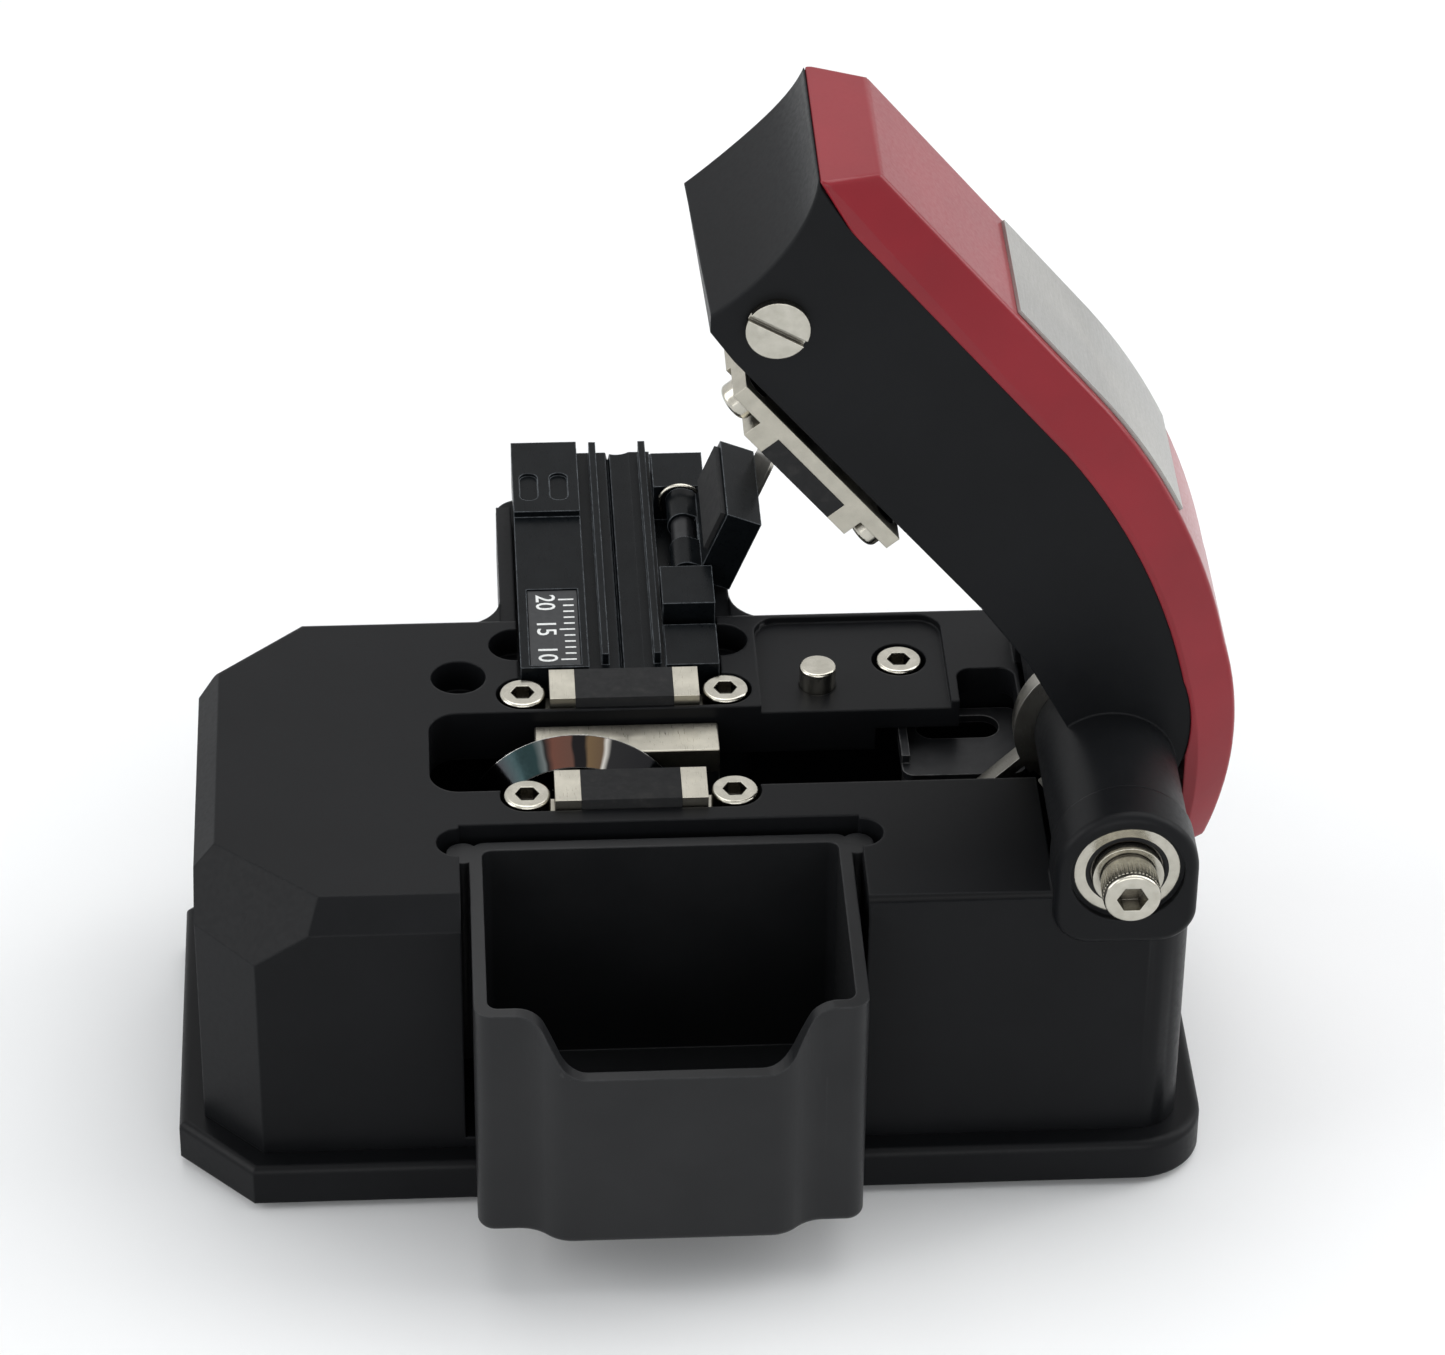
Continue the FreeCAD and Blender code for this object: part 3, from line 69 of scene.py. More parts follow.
class Finish:
    """One material, built node by node on Object coordinates."""

    def __init__(self, name, colour, roughness, metallic=0.0):
        self.material = bpy.data.materials.new(name)
        self.material.use_nodes = True
        self.nodes = self.material.node_tree.nodes
        self.links = self.material.node_tree.links
        self.shader = self.nodes["Principled BSDF"]
        self.shader.inputs["Base Color"].default_value = (*colour, 1)
        self.shader.inputs["Roughness"].default_value = roughness
        self.shader.inputs["Metallic"].default_value = metallic
        self.object_space = self.nodes.new("ShaderNodeTexCoord").outputs["Object"]
        self.normal_out = None
        self.material.diffuse_color = (*colour, 1)

    def set(self, socket, value):
        self.shader.inputs[socket].default_value = value

    def math(self, kind, first, second=0.5, clamp=False):
        """A value worked out from two others, each a number or another node's output."""
        node = self.nodes.new("ShaderNodeMath")
        node.operation = kind
        node.use_clamp = clamp
        for socket, value in zip(node.inputs, (first, second)):
            if isinstance(value, (int, float)):
                socket.default_value = value
            else:
                self.links.new(value, socket)
        return node.outputs[0]

    def spread(self, stretch=(1, 1, 1), turn=(0, 0, 0)):
        """Object coordinates, stretched and turned for a grain that runs one way."""
        node = self.nodes.new("ShaderNodeMapping")
        node.inputs["Scale"].default_value = stretch
        node.inputs["Rotation"].default_value = turn
        self.links.new(self.object_space, node.inputs["Vector"])
        return node.outputs["Vector"]

    def noise(self, grain_mm, detail, stretch=(1, 1, 1), turn=(0, 0, 0)):
        """Noise whose grain is about grain_mm across, from 0 to 1."""
        node = self.nodes.new("ShaderNodeTexNoise")
        node.inputs["Scale"].default_value = 1 / (grain_mm * MM)
        node.inputs["Detail"].default_value = detail
        node.inputs["Roughness"].default_value = 0.55
        self.links.new(self.spread(stretch, turn), node.inputs["Vector"])
        return node.outputs["Fac"]

    def pits(self, grain_mm):
        """Rounded dimples about grain_mm apart."""
        node = self.nodes.new("ShaderNodeTexVoronoi")
        node.feature = "SMOOTH_F1"
        node.inputs["Scale"].default_value = 1 / (grain_mm * MM)
        self.links.new(self.spread(), node.inputs["Vector"])
        return node.outputs["Distance"]

    def between(self, value, from_low, from_high, to_low, to_high):
        """A value carried over from one range to another, and held at its ends."""
        node = self.nodes.new("ShaderNodeMapRange")
        self.links.new(value, node.inputs["Value"])
        ends = {"From Min": from_low, "From Max": from_high, "To Min": to_low, "To Max": to_high}
        for name, number in ends.items():
            node.inputs[name].default_value = number
        return node.outputs["Result"]

    def mottle(self, grain_mm, detail, to_low, to_high, stretch=(1, 1, 1)):
        """Noise that wanders from to_low to to_high."""
        return self.between(self.noise(grain_mm, detail, stretch), *NOISE_SPAN, to_low, to_high)

    def blend_colour(self, amount, first, second):
        """Colour that goes from first to second as amount goes from 0 to 1."""
        node = self.nodes.new("ShaderNodeMix")
        node.data_type = "RGBA"
        self.links.new(amount, node.inputs["Factor"])
        colour_sockets = [socket for socket in node.inputs if socket.type == "RGBA"]
        for socket, value in zip(colour_sockets, (first, second)):
            if isinstance(value, tuple):
                socket.default_value = (*value, 1)
            else:
                self.links.new(value, socket)
        return [socket for socket in node.outputs if socket.type == "RGBA"][0]

    def worn_edges(self, radius_mm, strength):
        """0 on open faces, up to strength along the edges, broken up by a fine noise."""
        bevel = self.nodes.new("ShaderNodeBevel")
        bevel.samples = 6
        bevel.inputs["Radius"].default_value = radius_mm * MM
        geometry = self.nodes.new("ShaderNodeNewGeometry")
        dot = self.nodes.new("ShaderNodeVectorMath")
        dot.operation = "DOT_PRODUCT"
        self.links.new(bevel.outputs["Normal"], dot.inputs[0])
        self.links.new(geometry.outputs["Normal"], dot.inputs[1])
        edge = self.between(dot.outputs["Value"], 0.985, 0.80, 0.0, 1.0)
        patchy = self.between(self.noise(0.9, 4), 0.35, 0.62, 0.35, 1.0)
        return self.math("MULTIPLY", self.math("MULTIPLY", edge, patchy), strength, True)

    def recess_shade(self, strength, reach_mm=2.0):
        """Painted shade: 0 on open faces, up to strength down in sockets, slots and corners, from
        ambient occlusion.
        """
        shade = self.nodes.new("ShaderNodeAmbientOcclusion")
        shade.samples = 8
        shade.inputs["Distance"].default_value = reach_mm * MM
        return self.between(shade.outputs["AO"], 0.72, 0.3, 0.0, strength)

    def round_edges(self, radius_mm):
        """Sharp edges catch the light as if they were broken by radius_mm."""
        bevel = self.nodes.new("ShaderNodeBevel")
        bevel.samples = 6
        bevel.inputs["Radius"].default_value = radius_mm * MM
        self.normal_out = bevel.outputs["Normal"]

    def bump(self, height, depth_mm, strength):
        """Fine relief, laid over what the normal already carries."""
        node = self.nodes.new("ShaderNodeBump")
        node.inputs["Strength"].default_value = strength
        node.inputs["Distance"].default_value = depth_mm * MM
        self.links.new(height, node.inputs["Height"])
        if self.normal_out is not None:
            self.links.new(self.normal_out, node.inputs["Normal"])
        self.normal_out = node.outputs["Normal"]

    def paint(self, colour):
        self.links.new(colour, self.shader.inputs["Base Color"])

    def matte(self, roughness):
        self.links.new(roughness, self.shader.inputs["Roughness"])

    def done(self):
        if self.normal_out is not None:
            self.links.new(self.normal_out, self.shader.inputs["Normal"])
        return self.material


def satin_casting(name="satin_casting", colour=(0.005, 0.0053, 0.006), edge=(0.02, 0.021, 0.023)):
    """Die casting under a satin black coat: faint orange peel, soft sheen, lighter edges."""
    f = Finish(name, colour, 0.4)
    f.set("Specular IOR Level", 0.1)
    f.round_edges(0.32)
    f.bump(f.pits(0.3), 0.005, 0.25)
    f.bump(f.noise(0.12, 2), 0.003, 0.3)
    cloud = f.noise(14, 3)
    lighter = tuple(part * 1.35 for part in colour)
    tint = f.blend_colour(f.between(cloud, *NOISE_SPAN, 0, 1), colour, lighter)
    f.paint(f.blend_colour(f.worn_edges(0.35, 0.7), tint, edge))
    patch = f.between(cloud, *NOISE_SPAN, -0.03, 0.03)
    f.matte(f.math("ADD", f.mottle(0.5, 3, 0.34, 0.44), patch))
    return f.done()


def fine_moulding():
    """Moulded bin: smoother than the casting, with a fine spark texture."""
    f = Finish("fine_moulding", (0.0105, 0.0108, 0.0118), 0.4)
    f.set("Specular IOR Level", 0.22)
    f.round_edges(0.22)
    f.bump(f.pits(0.2), 0.004, 0.3)
    cloud = f.mottle(9, 3, 0, 1)
    body = f.blend_colour(cloud, (0.0092, 0.0096, 0.0105), (0.0125, 0.013, 0.014))
    f.paint(f.blend_colour(f.worn_edges(0.4, 0.6), body, (0.036, 0.037, 0.04)))
    f.matte(f.mottle(0.35, 3, 0.33, 0.43))
    return f.done()


def black_rubber():
    """Dull rubber insert with a little dust on it."""
    f = Finish("black_rubber", (0.02, 0.02, 0.021), 0.85)
    f.set("Specular IOR Level", 0.2)
    f.round_edges(0.15)
    f.bump(f.noise(0.08, 4), 0.008, 0.5)
    dust = f.between(f.noise(1.2, 5), 0.55, 0.75, 0, 1)
    f.paint(f.blend_colour(dust, (0.016, 0.0163, 0.017), (0.03, 0.0295, 0.029)))
    f.matte(f.mottle(0.6, 3, 0.74, 0.9))
    return f.done()


def black_anodised():
    """Milled aluminium, black anodised, with bright worn edges and fine tool marks."""
    f = Finish("black_anodised", (0.0075, 0.0095, 0.0115), 0.3)
    f.set("Specular IOR Level", 0.08)
    f.round_edges(0.1)
    f.bump(f.noise(0.07, 2, (1, 0.06, 1)), 0.002, 0.4)
    cloud = f.mottle(3, 4, 0, 1)
    body = f.blend_colour(cloud, (0.0022, 0.003, 0.0038), (0.0045, 0.0056, 0.0066))
    f.paint(f.blend_colour(f.worn_edges(0.2, 1.0), body, (0.16, 0.175, 0.19)))
    f.matte(f.mottle(0.4, 3, 0.24, 0.38, (1, 0.2, 1)))
    return f.done()


def black_oxide():
    """Blackened steel of the carriage, edges rubbed through to the metal."""
    f = Finish("black_oxide", (0.014, 0.0145, 0.016), 0.36, 0.3)
    f.set("Specular IOR Level", 0.3)
    f.round_edges(0.1)
    f.bump(f.noise(0.06, 3), 0.002, 0.4)
    cloud = f.mottle(1.5, 4, 0, 1)
    body = f.blend_colour(cloud, (0.0085, 0.009, 0.0105), (0.018, 0.0185, 0.02))
    f.paint(f.blend_colour(f.worn_edges(0.22, 1.0), body, (0.2, 0.2, 0.2)))
    f.matte(f.mottle(0.3, 3, 0.3, 0.44))
    return f.done()


def ground_steel(name="ground_steel", stretch=(1, 0.05, 1), colour=(0.44, 0.42, 0.36)):
    """Ground steel: fine straight scratches one way, warm satin tone, a few darker stains, and painted
    shade down in its recesses.
    """
    f = Finish(name, colour, 0.3, 1.0)
    f.round_edges(0.08)
    lines = f.noise(0.06, 4, stretch)
    f.bump(lines, 0.003, 0.5)
    f.set("Anisotropic", 0.4)
    shade = f.mottle(1.6, 4, 0, 1)
    darker, lighter, shadow = (tuple(part * share for part in colour) for share in (0.88, 1.06, 0.3))
    body = f.blend_colour(shade, darker, lighter)
    # painted shade: the colour darkens towards shadow down in recesses
    f.paint(f.blend_colour(f.recess_shade(0.45), body, shadow))
    f.matte(f.between(lines, *NOISE_SPAN, 0.26, 0.4))
    return f.done()


def nickel_plate():
    """Nickel-plated screws: bright and even, with painted shade nearly black down in their sockets and
    slots.
    """
    f = Finish("nickel_plate", (0.58, 0.56, 0.5), 0.2, 1.0)
    f.round_edges(0.12)
    f.bump(f.noise(0.3, 3), 0.0015, 0.3)
    body = f.blend_colour(f.mottle(1.1, 4, 0, 1), (0.42, 0.405, 0.35), (0.52, 0.5, 0.44))
    # painted shade: the colour goes nearly black down in recesses
    f.paint(f.blend_colour(f.recess_shade(0.9), body, (0.035, 0.03, 0.026)))
    f.matte(f.mottle(0.25, 3, 0.15, 0.24))
    return f.done()


def polished_blade():
    """Hard-metal wheel: lapped flats with a painted dark reflection, and painted reflections round its
    bevel in brown, blue-green and bright bands.
    """
    f = Finish("polished_blade", (0.1, 0.09, 0.09), 0.1, 1.0)
    repeats, first_turn = 4, 10.5
    flat_out, flat_in = 1.17 * MM, 1.13 * MM
    f.round_edges(0.04)
    f.bump(f.noise(0.2, 2), 0.001, 0.3)
    shift = f.nodes.new("ShaderNodeVectorMath")
    shift.operation = "SUBTRACT"
    shift.inputs[1].default_value = middle("blade_wheel")
    f.links.new(f.object_space, shift.inputs[0])
    parts = f.nodes.new("ShaderNodeSeparateXYZ")
    f.links.new(shift.outputs[0], parts.inputs[0])
    # the bands are painted reflections, laid by angle round the axle, so they turn with the wheel
    round_wheel = f.math("ARCTAN2", parts.outputs["X"], parts.outputs["Z"])
    wander = f.mottle(2.5, 1, -0.012, 0.012)
    turns = f.math("ADD", f.math("MULTIPLY", round_wheel, repeats / (2 * math.pi)), wander)
    reflection_band = f.math("FRACT", f.math("ADD", turns, first_turn))
    reflection_ramp = f.nodes.new("ShaderNodeValToRGB")
    f.links.new(reflection_band, reflection_ramp.inputs["Fac"])
    stops = reflection_ramp.color_ramp.elements
    # where each painted reflection tone lies along one repeat of the bands, from 0 to 1; the bright
    # stop is a painted glint
    painted_reflection_tones = (
        (0.0, (0.02, 0.02, 0.022)), (0.12, (0.02, 0.036, 0.038)), (0.24, (0.024, 0.046, 0.048)),
        (0.29, (0.14, 0.16, 0.16)), (0.31, (0.022, 0.021, 0.021)), (0.36, (0.14, 0.062, 0.046)),
        (0.48, (0.12, 0.062, 0.048)), (0.5, (0.016, 0.015, 0.016)), (0.57, (0.016, 0.015, 0.016)),
        (0.59, (0.15, 0.1, 0.055)), (0.67, (0.12, 0.08, 0.05)), (0.69, (0.6, 0.58, 0.54)),
        (0.72, (0.026, 0.026, 0.027)), (1.0, (0.02, 0.02, 0.022)),
    )
    for spot, reflection_tone in painted_reflection_tones[1:-1]:
        stops.new(spot).color = (*reflection_tone, 1)
    stops[0].color = (*painted_reflection_tones[0][1], 1)
    stops[-1].color = (*painted_reflection_tones[-1][1], 1)
    # painted dark reflection on the flats, painted reflection bands on the bevel
    bevelled = f.between(f.math("ABSOLUTE", parts.outputs["Y"]), flat_out, flat_in, 0, 1)
    body = f.blend_colour(bevelled, (0.02, 0.02, 0.021), reflection_ramp.outputs["Color"])
    f.paint(f.blend_colour(f.worn_edges(0.1, 1.0), body, (0.6, 0.6, 0.58)))
    f.matte(f.mottle(0.3, 3, 0.07, 0.15))
    return f.done()


def crimson_lacquer():
    """Gloss crimson lacquer over a satin base, with a hint of orange peel in the clear coat."""
    f = Finish("crimson_lacquer", (0.24, 0.008, 0.0175), 0.34)
    f.set("Specular IOR Level", 0.24)
    f.set("Coat Weight", 0.25)
    f.set("Coat Roughness", 0.1)
    f.round_edges(0.3)
    f.bump(f.noise(0.9, 2), 0.004, 0.3)
    f.bump(f.noise(0.06, 2), 0.0015, 0.2)
    cloud = f.mottle(12, 3, 0, 1)
    body = f.blend_colour(cloud, (0.2, 0.0055, 0.0125), (0.24, 0.007, 0.0155))
    f.paint(f.blend_colour(f.worn_edges(0.4, 0.4), body, (0.15, 0.0055, 0.012)))
    f.matte(f.mottle(0.4, 3, 0.28, 0.38))
    return f.done()


def brushed_label():
    """Thin brushed plate: long fine scratches up the lid."""
    f = Finish("brushed_label", (0.36, 0.355, 0.34), 0.4, 0.85)
    f.round_edges(0.05)
    lines = f.noise(0.06, 4, (1, 0.03, 1), (0, 0, math.pi / 2))
    f.bump(lines, 0.002, 0.4)
    f.set("Anisotropic", 0.5)
    streaks = f.between(lines, *NOISE_SPAN, 0, 1)
    f.paint(f.blend_colour(streaks, (0.31, 0.305, 0.29), (0.42, 0.415, 0.4)))
    f.matte(f.mottle(0.3, 3, 0.34, 0.46))
    return f.done()


def scale_ground():
    """Dark plate under the printed scale."""
    f = Finish("scale_ground", (0.018, 0.0195, 0.021), 0.45)
    f.set("Specular IOR Level", 0.3)
    f.round_edges(0.05)
    f.bump(f.noise(0.1, 3), 0.002, 0.4)
    cloud = f.mottle(0.6, 4, 0, 1)
    f.paint(f.blend_colour(cloud, (0.015, 0.0163, 0.018), (0.024, 0.0255, 0.0275)))
    f.matte(f.mottle(0.4, 3, 0.38, 0.5))
    return f.done()


def white_print():
    """White print, a little thin in places."""
    f = Finish("white_print", (0.72, 0.73, 0.72), 0.6)
    thin = f.between(f.noise(0.25, 4), 0.35, 0.65, 0, 1)
    f.paint(f.blend_colour(thin, (0.6, 0.61, 0.6), (0.78, 0.79, 0.78)))
    f.matte(f.mottle(0.15, 3, 0.5, 0.7))
    f.bump(f.noise(0.05, 2), 0.002, 0.4)
    return f.done()


def magnet_nickel():
    """Plated magnets in the holder's underside."""
    f = Finish("magnet_nickel", (0.58, 0.56, 0.52), 0.18, 1.0)
    f.round_edges(0.1)
    f.bump(f.noise(0.3, 3), 0.002, 0.3)
    f.paint(f.blend_colour(f.mottle(0.8, 4, 0, 1), (0.48, 0.46, 0.43), (0.66, 0.64, 0.6)))
    f.matte(f.mottle(0.3, 3, 0.14, 0.26))
    return f.done()


casting = satin_casting()
arm_coat = satin_casting("arm_coat", (0.0062, 0.0066, 0.0074), (0.018, 0.019, 0.021))
moulding = fine_moulding()
rubber = black_rubber()
anodised = black_anodised()
oxide = black_oxide()
steel = ground_steel()
sheet_steel = ground_steel("sheet_steel", (1, 1, 0.05), (0.34, 0.33, 0.3))
nickel = nickel_plate()
blade_finish = polished_blade()
lacquer = crimson_lacquer()
label_finish = brushed_label()
scale_finish = scale_ground()
print_white = white_print()
magnet_finish = magnet_nickel()

node_finish = {
    "base_housing": casting, "base_plate": casting, "base_pad": rubber, "base_screws": nickel,
    "lower_clamp_front": steel, "lower_clamp_rear": steel,
    "lower_rubber_front": rubber, "lower_rubber_rear": rubber,
    "clamp_screws": nickel, "stop_pin": nickel, "panel_screw": nickel, "hinge_axle": nickel,
    "hinge_bearings": nickel, "axle_screw": nickel, "axle_spacer": nickel, "axle_clip": oxide,
    "slide_rail": steel, "rail_screws": nickel, "holder_base": anodised, "scale_plate": scale_finish,
    "holder_magnets": magnet_finish, "flap_pin": nickel,
    "carriage_block": oxide, "blade_bracket": oxide, "steel_bar": steel, "blade_screw": nickel,
    "drive_post": oxide, "drive_pin": nickel, "link_plate": oxide, "blade_wheel": blade_finish,
    "lid_arm": arm_coat, "lid_cover": lacquer, "label_plate": label_finish, "arm_screws": nickel,
    "anvil": rubber, "lid_bumper": rubber, "drive_lever": sheet_steel,
    "upper_clamp_front": steel, "upper_clamp_rear": steel, "upper_rubber_front": rubber,
    "upper_rubber_rear": rubber, "clamp_carrier": steel, "upper_screws": nickel,
    "clamp_springs": nickel,
    "holder_flap": anodised, "flap_pad": rubber, "flap_leaf": sheet_steel, "scrap_bin": moulding,
}
for node, material in node_finish.items():
    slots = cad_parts[node].data.materials
    for index in range(len(slots)):
        slots[index] = material
    if not len(slots):
        slots.append(material)


# ------------------------------------------------------------------ modelling by hand

def clear_selection():
    for thing in bpy.context.selected_objects:
        thing.select_set(False)


def keep(name, material, body):
    """Name the active piece, give it its finish and let it ride."""
    piece = bpy.context.active_object
    piece.name = name
    piece.data.name = name
    piece.data.materials.clear()
    piece.data.materials.append(material)
    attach(piece, body)


def select_only(piece):
    clear_selection()
    piece.select_set(True)
    bpy.context.view_layer.objects.active = piece


def settle(piece):
    """Put the object's place into its mesh, so that the object sits at the origin."""
    select_only(piece)
    bpy.ops.object.transform_apply(location=True, rotation=True, scale=True)


def copied(piece, shift):
    """A copy of a piece with its own mesh, moved by shift."""
    twin = piece.copy()
    twin.data = piece.data.copy()
    twin.data.transform(Matrix.Translation(shift))
    bpy.context.scene.collection.objects.link(twin)
    return twin


def worked_copy(node, name):
    """A merged copy of a node's mesh with its flat faces made whole, ready for hand work."""
    piece = bpy.data.objects.new(name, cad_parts[node].data.copy())
    bpy.context.scene.collection.objects.link(piece)
    select_only(piece)
    bpy.ops.object.mode_set(mode="EDIT")
    bpy.ops.mesh.select_all(action="SELECT")
    bpy.ops.mesh.remove_doubles(threshold=0.001 * MM)
    bpy.ops.mesh.dissolve_limited(angle_limit=math.radians(0.6))
    bpy.ops.mesh.select_all(action="DESELECT")
    bpy.ops.object.mode_set(mode="OBJECT")
    return piece


def round_edges_where(piece, chosen, width, steps, sharp):
    """Round the edges that turn by sharp degrees or more and pass chosen(start, end)."""
    select_only(piece)
    bpy.ops.object.mode_set(mode="EDIT")
    bpy.ops.mesh.select_mode(type="EDGE")
    bpy.ops.mesh.select_all(action="DESELECT")
    shape = bmesh.from_edit_mesh(piece.data)
    picked = False
    for edge in shape.edges:
        if len(edge.link_faces) != 2 or edge.calc_face_angle(0) < math.radians(sharp):
            continue
        if chosen(edge.verts[0].co, edge.verts[1].co):
            edge.select_set(True)
            picked = True
    bmesh.update_edit_mesh(piece.data)
    if picked:
        bpy.ops.mesh.bevel(
            offset=width * MM, segments=steps, profile=0.5, affect="EDGES", clamp_overlap=True
        )
    bpy.ops.object.mode_set(mode="OBJECT")


def smooth(piece):
    """Smooth the round stretches and keep the broad faces flat."""
    select_only(piece)
    bpy.ops.object.shade_smooth_by_angle(angle=SMOOTH_ANGLE)
    even = piece.modifiers.new("even", "WEIGHTED_NORMAL")
    even.keep_sharp = True
    even.weight = 100
    bpy.ops.object.modifier_apply(modifier=even.name)


def stand_for(piece, node, body, material):
    """Let a hand-worked piece take a node's place."""
    select_only(piece)
    keep(piece.name, material, body)
    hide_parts(node)


hinge = middle("hinge_axle")
open_angle = math.radians(50.0)
lid_middle = middle("lid_cover").y
line_slack = 0.06     # how far a lid edge may lie from its drawn line, in millimetres


def drawn_closed(point):
    """Where a point of the open lid lies when the lid is closed, from the hinge, in millimetres."""
    away = (point - hinge) / MM
    across = away.x * math.cos(open_angle) - away.z * math.sin(open_angle)
    up = away.x * math.sin(open_angle) + away.z * math.cos(open_angle)
    return Vector((across, (point.y - lid_middle) / MM, up))


def turned_open(across, side, up):
    """A point drawn on the closed lid, from the hinge in millimetres, turned open with it."""
    return Vector((
        hinge.x + (across * math.cos(open_angle) + up * math.sin(open_angle)) * MM,
        lid_middle + side * MM,
        hinge.z + (up * math.cos(open_angle) - across * math.sin(open_angle)) * MM,
    ))


def runs_along(first, second, side):
    """Whether two points lie side millimetres off the lid's middle, on the same flank."""
    return (
        abs(abs(first.y) - side) < line_slack
        and abs(abs(second.y) - side) < line_slack
        and first.y * second.y > 0
    )


def crowned_cover():
    """The crimson cover with its crown, flanks and nose rounded over."""
    cover = worked_copy("lid_cover", "crowned_cover")
    bevel_breadth, nose_start, nose_up = 1.7, -54.0, 17.0
    flank = max(abs(drawn_closed(vertex.co).y) for vertex in cover.data.vertices)
    crown = flank - bevel_breadth

    def across_nose(start, end):
        a, b = drawn_closed(start), drawn_closed(end)
        return max(a.x, b.x) < nose_start and min(a.z, b.z) > nose_up

    def along_crown(start, end):
        return runs_along(drawn_closed(start), drawn_closed(end), crown)

    def along_flank(start, end):
        return runs_along(drawn_closed(start), drawn_closed(end), flank)

    round_edges_where(cover, across_nose, width=1.5, steps=6, sharp=20)
    round_edges_where(cover, along_crown, width=0.9, steps=5, sharp=12)
    round_edges_where(cover, along_flank, width=0.35, steps=3, sharp=12)
    smooth(cover)
    stand_for(cover, "lid_cover", "lid", lacquer)


def scooped_arm():
    """The black arm: its thumb scoop is shallower on the far side and its rims are softened."""
    arm = worked_copy("lid_arm", "scooped_arm")
    grip_start, scoop_start, rim_start, lip_start = -40.0, -60.3, -60.0, -60.5
    lip_up, top_up, slack = 3.8, 19.5, 0.05
    near_belly, far_belly, far_lip = 3.6, 7.3, 2.2
    drawn = [drawn_closed(vertex.co) for vertex in arm.data.vertices]
    flank = max(abs(point.y) for point in drawn if point.x < grip_start)
    for vertex, place in zip(arm.data.vertices, drawn):
        if place.x > scoop_start or not lip_up - slack < place.z < top_up + slack:
            continue
        rise = (place.z - lip_up) / (top_up - lip_up)
        belly = rise * (1 - rise)
        near = near_belly * belly
        far = far_lip * (1 - rise) + far_belly * belly
        share = (place.y + flank) / (2 * flank)
        fill = near * (1 - share) + far * share
        vertex.co = turned_open(place.x - fill, place.y, place.z)

    def scoop_rim(start, end):
        a, b = drawn_closed(start), drawn_closed(end)
        return runs_along(a, b, flank) and max(a.x, b.x) < rim_start and min(a.z, b.z) > lip_up - 0.2

    def lip_line(start, end):
        a, b = drawn_closed(start), drawn_closed(end)
        return max(a.x, b.x) < lip_start and abs(a.z - lip_up) < 0.8 and abs(a.y - b.y) > 10

    round_edges_where(arm, scoop_rim, width=0.55, steps=3, sharp=25)
    round_edges_where(arm, lip_line, width=0.3, steps=2, sharp=25)
    smooth(arm)
    stand_for(arm, "lid_arm", "lid", arm_coat)


def softened_housing():
    """The housing with the front rim of its hinge boss rounded over."""
    housing = worked_copy("base_housing", "softened_housing")
    boss_front = min(v.co.y for v in housing.data.vertices if v.co.z > hinge.z)
    bearing_recess = 6.2 * MM
    slack = 0.02 * MM

    def boss_rim(start, end):
        if max(abs(start.y - boss_front), abs(end.y - boss_front)) > slack:
            return False
        reach = min(math.hypot(p.x - hinge.x, p.z - hinge.z) for p in (start, end))
        return reach > bearing_recess

    round_edges_where(housing, boss_rim, width=0.9, steps=5, sharp=40)
    smooth(housing)
    stand_for(housing, "base_housing", "base", casting)


def prism(name, corners, y_front, y_back):
    """A solid with an outline of (x, z) corners in millimetres, from y_front to y_back in metres."""
    clear_selection()
    bpy.ops.mesh.primitive_circle_add(vertices=len(corners), radius=MM, fill_type="NGON")
    piece = bpy.context.active_object
    piece.name = name
    for vertex, (x, z) in zip(piece.data.vertices, corners):
        vertex.co = Vector((x * MM, y_front, z * MM))
    bpy.ops.object.mode_set(mode="EDIT")
    bpy.ops.mesh.select_all(action="SELECT")
    bpy.ops.mesh.extrude_region_move(TRANSFORM_OT_translate={"value": (0, y_back - y_front, 0)})
    bpy.ops.mesh.select_all(action="SELECT")
    bpy.ops.mesh.normals_make_consistent(inside=False)
    bpy.ops.mesh.select_all(action="DESELECT")
    bpy.ops.object.mode_set(mode="OBJECT")
    return piece


def join_solids(piece, other, kind):
    """Fuse other to the piece, or cut it off, and clear other away."""
    select_only(piece)
    change = piece.modifiers.new("join", "BOOLEAN")
    change.operation = kind
    change.object = other
    change.solver = "EXACT"
    bpy.ops.object.modifier_apply(modifier=change.name)
    bpy.data.objects.remove(other)


